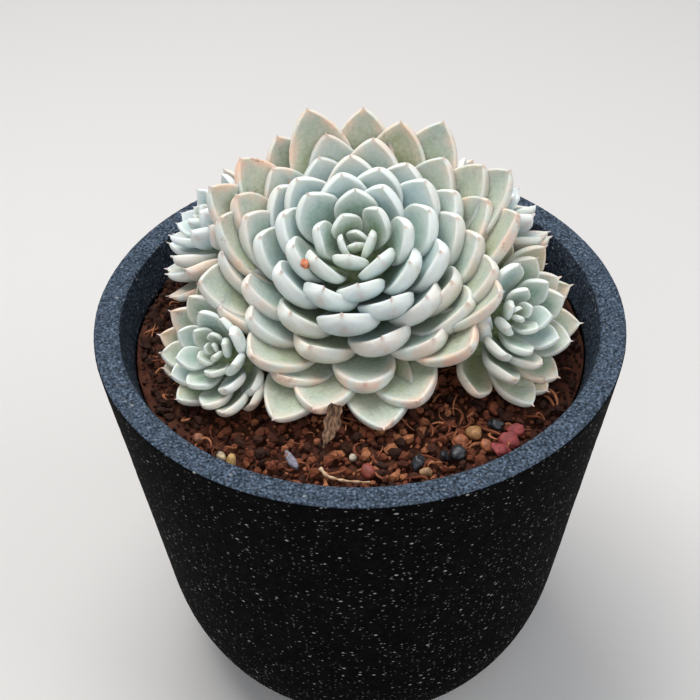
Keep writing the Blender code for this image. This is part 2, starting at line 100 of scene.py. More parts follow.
# The rules that the frame's leaves follow
FIRST_SEED = 11
GOLDEN_ANGLE = math.pi * (3 - math.sqrt(5))
MIDRIB_STEPS = 40
WIDEST_AT = 0.68
THICKEST_AT = 0.66
BASE_WIDTH = 0.34
BASE_FULLNESS = 0.32
LEAF_DISH = 0.055
LEAF_CLEARANCE = 0.0004
SOIL_CLEARANCE = 0.0007
WALL_CLEARANCE = 0.0008
PLANT_REACH = 0.0735
CORE_TOP = 0.0011
CORE_RINGS = 5
CORE_SEGMENTS = 14
STEM_SEGMENTS = 16
YOUNG_AGE = 0.40
# The bends, in degrees, that a leaf tries in turn to be clear of its neighbours
BENDS = (0, -4, 4, -8, 8, -12, 12, -16, -20, -24, -28, -32, -36, -42, -48)
# How a leaf's outline flares from its base and closes at its tip, and the same for its thickness
BASE_FLARE = 1.5
TIP_FLARE = 1.95
TIP_POINT = 0.70
BASE_SWELL = 1.6
TIP_SWELL = 2.4
TIP_BLUNTNESS = 0.55
CURL_CURVE = 1.25
# The back of the frame's leaves: half width of its flat and its depth, as shares of the leaf's own
DISHED_BACK = 0.55
PLAIN_BACK = 0.5
DISHED_DEPTH = 0.80
PLAIN_DEPTH = 0.85
TIP_SINK = 0.12
# The core that the leaves grow from: its rounded top, its swelling and its lower end
CROWN_SHOULDER = 0.2
CORE_SPACING = 1.7
CORE_YOUNG_SWELL = 0.3
CORE_SWELL_RATE = 1.6
CORE_BASE = ((0.72, 0.40), (0.0, 0.55))
# Each leaf differs a little by chance: degrees for its angles, a share for its sizes
ANGLE_SWAY = 2.0
ROLL_SWAY = 3.0
SIZE_SWAY = 0.03
# The share of a leaf's curl that its base leans out by, so its chord keeps the lean in the table
CURL_LEAN = 0.44
# On some sides the leaves past this age bend further out, and those lose part of their curl
SKIRT_AGE = 0.35
SKIRT_FLATTENING = 0.9


def table(ages, values):
    """Pairs of a leaf's age, from 0 in the bud to 1 at the oldest leaf, and a value."""
    return list(zip(ages, values))


def at_age(age, pairs):
    """Read a table at an age, on straight lines between its pairs."""
    ages, values = zip(*pairs)
    return float(np.interp(age, ages, values))


# The large rosette. Lengths are metres, angles are degrees from its axis.
MAIN_AGES = (0, 0.067, 0.147, 0.267, 0.427, 0.64, 0.827, 1)
MAIN = {
    "name": "rosette_main",
    "leaves": 76,
    "bud": (-0.001, -0.0022, POT_HEIGHT + 0.027),
    "axis": (-0.070, -0.388, 1.0),
    "start": 5.02,
    "wobble": 1.0,
    "size": 1.0,
    "stem": 0.0095,
    "core_swell": 0.0090,
    "dished": True,
    "most_bend": 48,
    "shares": (1.0, 0.88, 0.76),
    "shortens_first": False,
    "pointed": 1.0,
    "rings": (0, 0.40, 0.70, 0.88),
    "young_rings": (0, 0.50, 0.82),
    "length": table(MAIN_AGES, (0.0062, 0.0142, 0.0206, 0.0252, 0.0293, 0.0358, 0.0425, 0.0480)),
    "width": table(MAIN_AGES, (0.0056, 0.0104, 0.0134, 0.0157, 0.0170, 0.0180, 0.0188, 0.0192)),
    "thickness": table(MAIN_AGES, (0.0016, 0.0032, 0.0044, 0.0056, 0.0062, 0.0062, 0.006, 0.0055)),
    "lean": table(MAIN_AGES, (5, 20, 27, 34, 43.5, 52, 57, 62)),
    "curl": table(MAIN_AGES, (6, 16, 26, 37, 44, 44, 34, 20)),
    "seat_depth": table(MAIN_AGES, (0.0065, 0.0085, 0.012, 0.017, 0.0225, 0.0252, 0.0264, 0.027)),
    "seat_radius": table(MAIN_AGES, (0.0004, 0.0025, 0.0045, 0.0062, 0.0076, 0.0085, 0.009, 0.009)),
    "skirt": ((-1.57, 0.60, 44.0), (1.57, 1.3, -14.0), (3.14, 0.7, -10.0), (0.0, 0.7, -13.0)),
    "finish": "leaf",
}

# The four offsets round it share one set of tables, each at its own size
PUP_AGES = (0, 0.1, 0.25, 0.5, 0.75, 1)
PUP_TABLES = {
    "wobble": 1.3,
    "stem": 0.0050,
    "core_swell": 0.0044,
    "dished": False,
    "most_bend": 20,
    "shares": (1.0, 0.88, 0.76, 0.64),
    "shortens_first": True,
    "pointed": 1.15,
    "rings": (0, 0.45, 0.80),
    "young_rings": (0, 0.45, 0.80),
    "length": table(PUP_AGES, (0.004, 0.009, 0.0142, 0.0185, 0.0212, 0.0218)),
    "width": table(PUP_AGES, (0.003, 0.0055, 0.0079, 0.0098, 0.0106, 0.0108)),
    "thickness": table(PUP_AGES, (0.0012, 0.0019, 0.0027, 0.0034, 0.0036, 0.0034)),
    "lean": table(PUP_AGES, (5, 17, 29, 42, 53, 61)),
    "curl": table(PUP_AGES, (4, 10, 14, 17, 17, 14)),
    "seat_depth": table(PUP_AGES, (0.0038, 0.0070, 0.0102, 0.0140, 0.0170, 0.0190)),
    "seat_radius": table(PUP_AGES, (0.0003, 0.0016, 0.0030, 0.0042, 0.0050, 0.0052)),
    "skirt": (),
}
POINTED = table((0, 0.15, 0.35, 1), (1.35, 1.2, 1.0, 0.95))


def pup(name, leaves, bud, axis, size, start, finish):
    """One offset: its bud is given in metres from the rim's centre."""
    head = dict(PUP_TABLES)
    head.update(name=name, leaves=leaves, axis=axis, size=size, start=start, finish=finish)
    head["bud"] = (bud[0], bud[1], bud[2] + POT_HEIGHT)
    return head


HEADS = (
    MAIN,
    pup("rosette_front_left", 40, (-0.0400, -0.0245, 0.0080), (-0.45, -0.52, 0.72), 0.94, 0.5,
        "young_leaf"),
    pup("rosette_right", 40, (0.0436, -0.0182, 0.0140), (0.50, -0.50, 0.68), 1.06, 2.0,
        "young_leaf"),
    pup("rosette_back_left", 36, (-0.0455, 0.0190, 0.0210), (-0.70, 0.10, 0.62), 1.00, 1.0,
        "blue_leaf"),
    pup("rosette_back_right", 34, (0.0420, 0.0290, 0.0205), (0.60, 0.25, 0.72), 1.00, 3.0,
        "blue_leaf"),
)

# Each kind of leaf finish: its name, its tint and how strong its greener patches are
LEAF_FINISHES = {
    "leaf": ("leaf", (1.0, 1.0, 1.0), 0.30),
    "young_leaf": ("young leaf", (0.78, 0.85, 0.68), 0.60),
    "blue_leaf": ("bluish leaf", (1.02, 1.04, 1.16), 0.12),
}

# The fine leaves: shares of a leaf's length at which its sections stand
FINE_RINGS = (0, 0.10, 0.20, 0.30, 0.39, 0.47, 0.54, 0.61, 0.67, 0.73, 0.785, 0.83, 0.87, 0.905,
              0.935, 0.958, 0.975, 0.987, 0.995)
FINE_WIDEST_AT = 0.62
FINE_FLARE = 2.1
FINE_POINT = 0.84
FACE_STEPS = 9
BACK_STEPS = 11
MARGIN_ANGLES = [math.radians(angle) for angle in (60, 30, 0, -30)]
# How deep the middle of the round edge lies, against its radius, and how full the back is: the
# lower the power, the fuller
EDGE_LEVEL = 0.9
BACK_BULGE = 0.9
# The edge's radius is at most these shares of a leaf's half width and of its depth there
MOST_EDGE = (0.45, 0.40)
# The least depth at the tip, against the tip's radius
TIP_DEPTH = 1.6
# Rings past the blade that form its point: how far along the point, and how wide still
POINT_RINGS = ((0.25, 0.75), (0.65, 0.42))
# A leaf shorter than this has a smaller point and thinner edges
FULL_LENGTH = 0.022
# By chance a blade sways sideways, twists, ripples along its edges and has a notch at its tip
BLADE_SWAY = 0.030
BLADE_TWIST = math.radians(5.0)
RIPPLE_HEIGHT = 0.00022
RIPPLE_RATE = 8
NOTCH_DEPTH = 0.0007
NOTCH_WIDTH = 0.35
NOTCH_CHANCE = 0.8
# The last part of a leaf, where its tip sinks and its notch cuts in
TIP_PART = 0.2
# How much nearer the tip's end counts as an edge than the sides do
TIP_NEARNESS = 0.8
# A leaf's hollow grows with its age, from one share of the dish setting up to the sum of both,
# and from its base it is full after one part in this many of its length
YOUNG_HOLLOW = 0.25
AGED_HOLLOW = 0.95
HOLLOW_GROWTH = 1.5
HOLLOW_REACH = 2.2
# What the leaf finish reads on a rosette's core: an old leaf's face, far from its edges
CORE_VALUES = {"inner": 1.0, "edge_mm": 9.0, "age": 0.60, "tone": 0.60}
FINE_CORE_SEGMENTS = 32
# The age at which the blush sets in, how fast it grows and its least share in a leaf, then the
# colours of the scars, of the tip's end and of rubbed bloom
BLUSH_AGE = 0.28
BLUSH_RATE = 2.2
LEAST_BLUSH = 0.25
SCAR_COLOUR = (0.22, 0.09, 0.045)
POINT_COLOUR = (0.66, 0.40, 0.34)
RUBBED_COLOUR = (0.74, 0.77, 0.76)
# The stems: rings and corners of each, and the share of the sunk part that is built
STEM_GRID = (14, 28)
STEM_SHOWN = 0.6
# Their radius in shares of the frame's: its mean, the height and rate of its scars, its lumps
STEM_GIRTH = 0.93
STEM_SCARS = (0.05, 25)
STEM_LUMPS = 0.16

# Sets of pale flecks: cell size, fleck radius as a share of it, share of bare cells, strength
FLECKS = ((0.0046, 0.070, 0.55, 0.58), (0.0029, 0.085, 0.50, 0.38), (0.0016, 0.12, 0.45, 0.16),
          (0.0021, 0.10, 0.62, 0.28))
FLECK_STRETCH = (1.0, 1.0, 1.5)
# How much of the ground rim's paler look the wall inside the rim has, from dust
DUSTY_WALL = 0.55
# Spacing of the points on the planter's outline: inside the rim, across it and down the side
WALL_SPACING = 0.0010
FLAT_SPACING = 0.00048
SIDE_SPACING = 0.0022
ROUNDING_STEPS = 4
FOOT_STEPS = 20
WALL_RINGS = 8
# The radii at which the planter's flat middle and the next ring of its inner floor lie
HUB = 0.004
FLOOR_FLAT = 0.025
# How far below the soil's edge the wall has relief, and the rim's top counts as flat
WALL_SHOWN = 0.002
RIM_EVENNESS = 0.0004
# What lies this far out from the inner wall, and this far above the floor, is the outside
OUTSIDE = 0.003
ABOVE_FOOT = 0.001
# The dust on the inner wall ends this far out from the rim's inner radius
DUST_REACH = 0.0002
# The planter's unevenness: size and height of its broad and fine relief, further fine relief
# of the rim, and the rim's pits with a size, a layer of the noise and a depth
BROAD_GRIT = (0.02, 0.00012)
FINE_GRIT = (0.0016, 0.00008)
RIM_GRIT = 0.00012
RIM_PITS = (0.0011, 9.0, 0.00045)
PIT_START = 0.18
RIM_DROP = 0.0001
PIT_COLOUR = (0.012, 0.014, 0.018)
# The soil bed: corners round it, rings of its top and of its side, the shares of its radius
# that the top spans, where its side starts, and its gaps to the wall and to the floor
BED_COLUMNS = 300
BED_RINGS = 62
BED_SIDE_RINGS = 10
BED_SPAN = (0.06, 0.993)
BED_EDGE_DEPTH = 0.003
BED_GAP = 0.0006
BED_FLOOR_GAP = 0.0003
# How much darker the soil is between and under its granules
BED_SHADE = 0.65
# The bed's top: how far it lies lower, its share of the frame's relief, and its lumps and
# crumbs, each with a size, a layer of the noise and a height
BED_DROP = 0.0004
BED_RELIEF = 0.8
BED_LUMPS = (0.0021, 1.3, 0.0011)
BED_CRUMBS = (0.0009, 4.1, 0.0004)
# The granules are painted darker towards the left and the right of the pot: painted shade, as cast
# there by the rim and the plants
SIDE_SHADE = 0.90
SIDE_SHADE_FROM = 0.052
# The granules: how far each strays, how much small ones prevail, and how high they lie
GRANULE_JITTER = 0.9
GRANULE_BIAS = 2.2
GRANULE_RISE = (0.10, 0.70)
# Their gap to the pot's wall, and how far a middle keeps off a stem, as a share of its radius
GRANULE_GAP = 0.0003
STEM_GAP = 0.6
# How rough and how flat a granule is, and the same of a pebble, a red chip and a black stone
GRANULE_SHAPE = (0.55, 0.75)
PEBBLE_SHAPE = (0.22, 0.8)
CHIP_SHAPE = (0.35, 0.45)
BLACK_SHAPE = (0.55, 0.65)
NUB_SHAPE = (0.20, 0.9)
# A stone's two shorter axes, in shares of its radius and of its flatness: the least, and how
# much more by chance
MIDDLE_AXIS = (0.72, 0.25)
SHORT_AXIS = (0.8, 0.3)
# How many broad and fine chips a stone has across, and how strong the fine ones are
CHIP_RATES = (1.3, 3.1)
FINE_CHIPS = 0.35
# Stones flatter than this lie flat, with a slight tilt
LYING_FLATNESS = 0.6
LYING_TILT = 0.35
# The height of a stone's middle over the soil, as a share of its radius
STONE_RISE = 0.75
# The fibres: least and further length, thickness and lift, each further part by chance or bend
FIBRES = 260
FIBRE_STEPS = 8
FIBRE_LENGTH = (0.003, 0.006)
FIBRE_THICKNESS = (0.00016, 0.00036)
FIBRE_LIFT = (0.0016, 0.0007)
# Each group of loose things, and each group of rosettes, has a seed for its chances
SEEDS = {"granules": 71, "fibres": 5, "stones": 29, "nub": 3, "rosette": 101, "offsets": 110}

# Where the photo's single stones and scraps lie, in metres from the planter's axis
PEBBLES = {
    "brown_pebble": ((-0.0432, -0.0420), 0.0019, (0.30, 0.12, 0.06)),
    "cream_pebble": ((-0.0366, -0.0488), 0.0017, (0.58, 0.46, 0.28)),
    "yellow_pebble": ((-0.0340, -0.0500), 0.0018, (0.58, 0.36, 0.13)),
    "red_stone": ((0.0017, -0.0552), 0.0023, (0.28, 0.055, 0.035)),
    "ochre_pebble": ((0.0300, -0.0415), 0.0022, (0.42, 0.21, 0.08)),
    "orange_pebble": ((0.0330, -0.0458), 0.0020, (0.40, 0.13, 0.055)),
    "rust_pebble": ((0.0262, -0.0443), 0.0021, (0.36, 0.11, 0.045)),
    "beige_pebble": ((0.0166, -0.0555), 0.0019, (0.42, 0.24, 0.12)),
    "white_chip": ((-0.0022, -0.0494), 0.0013, (0.66, 0.58, 0.45)),
}
RED_CHIPS = (((0.0390, -0.0447), 0.0028), ((0.0412, -0.0408), 0.0024), ((0.0366, -0.0478), 0.0026))
BLACK_STONES = (((0.0147, -0.0522), 0.0023), ((0.0218, -0.0498), 0.0021), ((0.0253, -0.0487), 0.0024),
                ((0.0360, -0.0385), 0.0024))
SLATE_ENDS = ((-0.0197, -0.0475), (-0.0166, -0.0545))
ROOT_POINTS = ((-0.0107, -0.0552), (-0.0085, -0.0572), (-0.0043, -0.0585), (0.0021, -0.0594))
ROOT_LIFTS = (0.0034, 0.0024, 0.0021, 0.0024)
ROOT_STEPS = 26
ROOT_RADIUS = 0.00055
# The withered leaf: where it starts and ends, both heights over the soil's edge, half its
# width, and how deep it sags, folds and crumples
DRY_LEAF_TOP = (-0.0060, -0.0400)
DRY_LEAF_LOW = (-0.0098, -0.0490)
DRY_LEAF_RISE = 0.0100
DRY_LEAF_END_RISE = 0.0034
DRY_LEAF_HALF = 0.0036
DRY_LEAF_SAG = 0.0010
DRY_LEAF_FOLD = 0.0014
DRY_LEAF_CRUMPLE = 0.0005
DRY_LEAF_THICKNESS = 0.00022
# The slate sliver: how far along each of its rings lies, with its half width, and its section
SLATE_RINGS = ((0.0, 0.0004), (0.25, 0.0011), (0.6, 0.0013), (0.9, 0.0008), (1.0, 0.0003))
SLATE_SECTION = ((-1, -0.0003), (-0.6, 0.0004), (0.8, 0.0003), (1, -0.0003), (0.2, -0.0007))
SLATE_LIFT = 0.0018
SLATE_RISE = 0.0010

# The camera: lens and sensor in millimetres, distance and height from the rim's middle, turns
CAMERA_LENS = 72.0
SENSOR_WIDTH = 36.0
CAMERA_REACH = 0.39736
CAMERA_RISE = math.radians(39.898)
CAMERA_PITCH = math.radians(41.526)
CAMERA_YAW = math.radians(-0.543)
CAMERA_ROLL = math.radians(-1.088)
NEAREST_SEEN = 0.01
# The picture's width, and where in it the orange nub shows, both in pixels
PICTURE_SIZE = 700
NUB_PIXEL = (308, 263)
NUB_RADIUS = 0.0015
NUB_LIFT = 0.0009
# Each lamp: its place, size, share of the key light's power and colour
LAMPS = {
    "key": ((-0.16, 0.20, 0.85), 0.55, 1.0, (1.0, 0.985, 0.96)),
    "side": ((0.75, -0.20, 0.60), 0.60, 0.36, (0.95, 0.97, 1.0)),
    "front": ((-0.10, -0.85, 0.62), 0.80, 0.42, (0.97, 0.98, 1.0)),
}
LAMP_AIM = (0.0, 0.0, 0.12)
SKY_COLOUR = (0.86, 0.92, 1.0, 1.0)
FLOOR_HALF = 3.0


def colour_setting(name, description, default):
    """A colour that a user can change."""
    return FloatVectorProperty(name=name, description=description, size=3, subtype="COLOR",
                               default=default)


def size_setting(name, description, default):
    """A length that a user can change."""
    return FloatProperty(name=name, description=description, default=default, unit="LENGTH",
                         precision=5)


class LeafSettings(bpy.types.PropertyGroup):
    """Sizes and colours of the leaves."""
    mucro: size_setting("Tip point", "Length of the point at a leaf's tip", 0.0011)
    tip_radius: size_setting("Tip radius", "Radius of a leaf at its tip point", 0.00032)
    rounding: size_setting("Edge rounding", "Radius along a leaf's edge", 0.00085)
    dish: FloatProperty(name="Dish", default=0.10, subtype="FACTOR",
                        description="Depth of an old leaf's hollow, as a share of its width")
    bloom: colour_setting("Bloom", "Waxy bloom on the backs near the tip", (0.60, 0.66, 0.65))
    middle: colour_setting("Middle back", "Backs half way up", (0.42, 0.54, 0.53))
    low: colour_setting("Lower back", "Backs towards the base", (0.26, 0.39, 0.21))
    face_tip: colour_setting("Face at the tip", "Inner faces near the tip", (0.50, 0.58, 0.55))
    face: colour_setting("Face", "Inner faces half way up", (0.29, 0.42, 0.39))
    deep: colour_setting("Deep green", "Inner faces towards the base", (0.12, 0.21, 0.06))
    margin: colour_setting("Margin", "Pale edge of a leaf", (0.74, 0.76, 0.74))
    blue: colour_setting("Blue cast", "Bluish bloom of some leaves", (0.42, 0.56, 0.63))
    olive: colour_setting("Olive cast", "Yellowish green of old leaves", (0.30, 0.31, 0.13))
    blush: colour_setting("Blush", "Peach tint of old leaf edges", (0.76, 0.49, 0.35))
    spot: colour_setting("Tip mark", "Rosy mark under the tip of a back", (0.50, 0.30, 0.23))


class PlanterSettings(bpy.types.PropertyGroup):
    """Finish of the stoneware."""
    segments: IntProperty(name="Segments", description="Steps round the planter", default=640)
    body: colour_setting("Body", "Stoneware colour", (0.0012, 0.0012, 0.0014))
    rim: colour_setting("Rim", "Ground top of the rim", (0.052, 0.070, 0.097))
    fleck: colour_setting("Flecks", "Pale grit in the clay", (0.55, 0.54, 0.50))


class SoilSettings(bpy.types.PropertyGroup):
    """Sizes and colours of the soil."""
    spacing: size_setting("Spacing", "Distance between granules", 0.00205)
    smallest: size_setting("Smallest", "Radius of the smallest granule", 0.0006)
    largest: size_setting("Largest", "Radius of the largest granule", 0.0021)
    dark: colour_setting("Dark", "Darkest granules", (0.026, 0.009, 0.005))
    brown: colour_setting("Brown", "Usual granules", (0.170, 0.047, 0.021))
    light: colour_setting("Light", "Lightest granules", (0.43, 0.165, 0.075))


class StageSettings(bpy.types.PropertyGroup):
    """Floor and light of the studio."""
    floor: colour_setting("Floor", "Floor colour", (0.62, 0.60, 0.58))
    key: FloatProperty(name="Key light", description="Power of the main light", default=6.9)
    fill: FloatProperty(name="Sky", description="Strength of the light from all round", default=0.45)


class Finish:
    """A material that is put together node by node."""

    def __init__(self, name, roughness=0.6, **sockets):
        self.material = bpy.data.materials.new(name)
        self.material.use_nodes = True
        self.tree = self.material.node_tree
        self.shader = self.tree.nodes["Principled BSDF"]
        self.shader.inputs["Roughness"].default_value = roughness
        for socket, value in sockets.items():
            self.shader.inputs[socket.replace("_", " ")].default_value = value
        self.place = self.tree.nodes.new("ShaderNodeTexCoord").outputs["Object"]

    def put(self, socket, value):
        """Feed a socket with another one's output or with a plain value."""
        if isinstance(value, bpy.types.NodeSocket):
            self.tree.links.new(value, socket)
        elif hasattr(value, "__len__"):
            socket.default_value = (*value[:3], 1.0) if len(socket.default_value) == 4 else value
        else:
            socket.default_value = value

    def attribute(self, name):
        """A value that the mesh carries at its corners."""
        node = self.tree.nodes.new("ShaderNodeAttribute")
        node.attribute_name = name
        return node.outputs["Fac"]

    def math(self, operation, first, second=0.0):
        """A sum, product or the like of two values."""
        node = self.tree.nodes.new("ShaderNodeMath")
        node.operation = operation
        self.put(node.inputs[0], first)
        self.put(node.inputs[1], second)
        return node.outputs[0]

    def step(self, value, low, high, start=0.0, end=1.0):
        """A smooth step from one value to another."""
        node = self.tree.nodes.new("ShaderNodeMapRange")
        node.interpolation_type = "SMOOTHSTEP"
        self.put(node.inputs["Value"], value)
        node.inputs["From Min"].default_value = low
        node.inputs["From Max"].default_value = high
        node.inputs["To Min"].default_value = start
        node.inputs["To Max"].default_value = end
        return node.outputs["Result"]

    def product(self, first, *others):
        """Several values multiplied."""
        for other in others:
            first = self.math("MULTIPLY", first, other)
        return first

    def mix(self, share, first, second):
        """Two colours, mixed by a share."""
        node = self.tree.nodes.new("ShaderNodeMix")
        node.data_type = "RGBA"
        # The sockets for colours come after those for numbers and vectors
        self.put(node.inputs[0], share)
        self.put(node.inputs[6], first)
        self.put(node.inputs[7], second)
        return node.outputs[2]

    def noise(self, size, detail=3.0, stretch=None):
        """Soft cloudy noise with lumps of about a size in metres."""
        node = self.tree.nodes.new("ShaderNodeTexNoise")
        node.inputs["Scale"].default_value = 1.0 / size
        node.inputs["Detail"].default_value = detail
        self.tree.links.new(self.moved(stretch), node.inputs["Vector"])
        return node.outputs["Fac"]

    def cells(self, size, output="Distance", stretch=None):
        """Cells of about a size in metres: the distance to a cell's middle, or its own colour."""
        node = self.tree.nodes.new("ShaderNodeTexVoronoi")
        node.inputs["Scale"].default_value = 1.0 / size
        self.tree.links.new(self.moved(stretch), node.inputs["Vector"])
        return node.outputs[output]

    def moved(self, stretch):
        """The place on the object, stretched along its axes if asked."""
        if stretch is None:
            return self.place
        node = self.tree.nodes.new("ShaderNodeMapping")
        node.inputs["Scale"].default_value = stretch
        self.tree.links.new(self.place, node.inputs["Vector"])
        return node.outputs["Vector"]

    def channel(self, colour, number):
        """One channel of a colour, used as a random value of a cell."""
        node = self.tree.nodes.new("ShaderNodeSeparateColor")
        self.tree.links.new(colour, node.inputs[0])
        return node.outputs[number]

    def colour(self, value):
        """Set the base colour."""
        self.put(self.shader.inputs["Base Color"], value)

    def bump(self, height, distance):
        """Raise the surface by a height pattern."""
        node = self.tree.nodes.new("ShaderNodeBump")
        node.inputs["Distance"].default_value = distance
        self.tree.links.new(height, node.inputs["Height"])
        self.tree.links.new(node.outputs["Normal"], self.shader.inputs["Normal"])


def mottled(name, size, detail, span, dark, light, depth, stretch=None, **sockets):
    """A finish of two colours mixed by one noise, which also raises the surface."""
    finish = Finish(name, **sockets)
    pattern = finish.noise(size, detail, stretch)
    finish.colour(finish.mix(finish.step(pattern, *span), dark, light))
    finish.bump(pattern, depth)
    return finish


def scaled(colour, factor):
    """A colour made darker or lighter."""
    return tuple(factor * part for part in colour)


def add_piece(name, points, faces, finish, values=None, smooth=True):
    """Put a mesh in the scene, with values that its finish reads at its corners."""
    mesh = bpy.data.meshes.new(name)
    mesh.from_pydata(np.asarray(points).tolist(), [], faces)
    mesh.materials.append(finish.material)
    for key, numbers in (values or {}).items():
        layer = mesh.attributes.new(key, "FLOAT", "POINT")
        layer.data.foreach_set("value", np.asarray(numbers, np.float32).ravel())
    mesh.polygons.foreach_set("use_smooth", [smooth] * len(mesh.polygons))
    mesh.update()
    piece = bpy.data.objects.new(name, mesh)
    bpy.context.scene.collection.objects.link(piece)
    return piece


def fasten(piece, slot, *nodes):
    """Let a piece ride on the planter and stand for the named solids; its slot is not used."""
    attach(piece, "root")
    if nodes:
        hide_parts(*nodes)


def grid_faces(rows, columns, closed=True, start=0):
    """Faces between the rows of a grid of points, whose rows may be closed rings."""
    last = columns if closed else columns - 1
    faces = []
    for row in range(rows - 1):
        for k in range(last):
            a, b = start + row * columns + k, start + row * columns + (k + 1) % columns
            faces.append((a, b, b + columns, a + columns))
    return faces


def shifted(faces, offset):
    """Faces whose corners come after others in a list."""
    return [tuple(corner + offset for corner in face) for face in faces]


def closed_tube(rows, columns, start=0, inside_out=False):
    """Faces between closed rings, with a lid on the first and the last of them."""
    end = start + rows * columns
    faces = grid_faces(rows, columns, start=start)
    faces += [tuple(reversed(range(start, start + columns))), tuple(range(end - columns, end))]
    return [tuple(reversed(face)) for face in faces] if inside_out else faces


@functools.cache
def circle(count):
    """The cosine and the sine of even steps round a circle."""
    angles = [math.tau * k / count for k in range(count)]
    return [(math.cos(angle), math.sin(angle)) for angle in angles]


def lumps_at(x, y, z, size):
    """Noise with lumps of a size at a place."""
    return noise.noise(Vector((x / size, y / size, z / size)))


def relief(x, y, size, layer):
    """Noise with lumps of a size over the ground, on a layer of its own."""
    return noise.noise(Vector((x / size, y / size, layer)))


def turned(x, y, angle):
    """Two lengths across each other, turned by an angle."""
    return x * math.cos(angle) - y * math.sin(angle), x * math.sin(angle) + y * math.cos(angle)


def fan(first, count, apex):
    """Faces between a ring of corners and a point past it."""
    return [(first + (k + 1) % count, first + k, apex) for k in range(count)]


def arc(centre, radius, start, end, steps):
    """Points along an arc, with its angles in degrees."""
    angles = [math.radians(start + (end - start) * k / steps) for k in range(steps + 1)]
    return [(centre[0] + radius * math.cos(a), centre[1] + radius * math.sin(a)) for a in angles]


def wall_radius(height):
    """The inner radius of the pot at a height between its floor and its rim."""
    soil_slope = (RIM_INNER_RADIUS - SOIL_RADIUS) / SOIL_DEPTH
    if height >= SOIL_TOP:
        return SOIL_RADIUS + soil_slope * (height - SOIL_TOP)
    share = (SOIL_TOP - height) / (SOIL_TOP - INNER_FLOOR)
    return SOIL_RADIUS - (SOIL_RADIUS - INNER_FLOOR_RADIUS) * share ** WALL_CURVE


def foot_curve(steps):
    """The outer side below the straight taper: a curve that turns in to the foot."""
    top = Vector((RIM_RADIUS - WALL_TAPER * TAPER_DEPTH, POT_HEIGHT - TAPER_DEPTH))
    foot = Vector((FOOT_RADIUS, 0.0))
    corner = Vector((top.x - WALL_TAPER * top.y * FOOT_BEND, top.y * (1 - FOOT_BEND)))
    points = []
    for k in range(1, steps + 1):
        t = k / steps
        point = top * (1 - t) ** 2 + corner * (2 * t * (1 - t)) + foot * t ** 2
        points.append((point.x, point.y))
    return points


def mound(x, y):
    """The soil's surface without its grains: slightly higher at the middle."""
    return SOIL_TOP + SOIL_MOUND * math.cos(min(math.hypot(x, y) / SOIL_RADIUS, 1.0) * math.pi)


def ground(x, y):
    """The lowest height at which a plant may pass over the soil."""
    return mound(x, y) + SOIL_RELIEF + SOIL_CLEARANCE


def crumbs(x, y):
    """The soil's surface with coarse and fine crumbs."""
    size, layer, depth = BED_LUMPS
    lumps = noise.voronoi(Vector((x / size, y / size, layer)))[0][0]
    fine_size, fine_layer, fine_depth = BED_CRUMBS
    fine = relief(x, y, fine_size, fine_layer)
    height = SOIL_RELIEF * max(-1.0, min(1.0, GRAIN_GAIN * relief(x, y, SOIL_GRAIN, GRAIN_LAYER)))
    return mound(x, y) - BED_DROP + BED_RELIEF * height - depth * lumps + fine_depth * fine


def head_frame(head):
    """Two directions across a rosette and the direction of its axis."""
    axis = Vector(head["axis"]).normalized()
    first = (Vector((1.0, 0.0, 0.0)) - axis * axis.x).normalized()
    return first, axis.cross(first), axis


def outline(share, pointed):
    """Half width of a leaf, as a share of its greatest, at a share of its length."""
    if share <= WIDEST_AT:
        return BASE_WIDTH + (1 - BASE_WIDTH) * math.sin(share / WIDEST_AT * math.pi / 2) ** BASE_FLARE
    t = (share - WIDEST_AT) / (1 - WIDEST_AT)
    return max(0.0, 1 - t ** TIP_FLARE) ** (TIP_POINT * pointed)


def fullness(share):
    """Thickness of a leaf, as a share of its greatest, at a share of its length."""
    if share <= THICKEST_AT:
        rise = math.sin(share / THICKEST_AT * math.pi / 2) ** BASE_SWELL
        return BASE_FULLNESS + (1 - BASE_FULLNESS) * rise
    t = (share - THICKEST_AT) / (1 - THICKEST_AT)
    return max(0.0, 1 - t ** TIP_SWELL) ** TIP_BLUNTNESS


def headings(leaf, share):
    """The directions ahead and inward at a share of a leaf's length, in its own plane."""
    angle = leaf["lean"] - leaf["curl"] * share ** CURL_CURVE
    return Vector((math.sin(angle), math.cos(angle))), Vector((-math.cos(angle), math.sin(angle)))


def midrib(leaf, length):
    """Points along the middle of a leaf's face, out from and up along its rosette's axis."""
    rib = [Vector((0.0, 0.0))]
    for k in range(MIDRIB_STEPS):
        ahead, _ = headings(leaf, (k + 0.5) / MIDRIB_STEPS)
        rib.append(rib[-1] + ahead * (length / MIDRIB_STEPS))
    return rib


def along_rib(rib, share):
    """The point of a midrib at a share of its length."""
    k = min(int(share * MIDRIB_STEPS), MIDRIB_STEPS - 1)
    return rib[k].lerp(rib[k + 1], share * MIDRIB_STEPS - k)


def in_part(leaf, flat, sideways):
    """A point near a leaf's midrib, in the part's frame."""
    return leaf["seat"] + leaf["out"] * flat.x + leaf["axis"] * flat.y + leaf["across"] * sideways


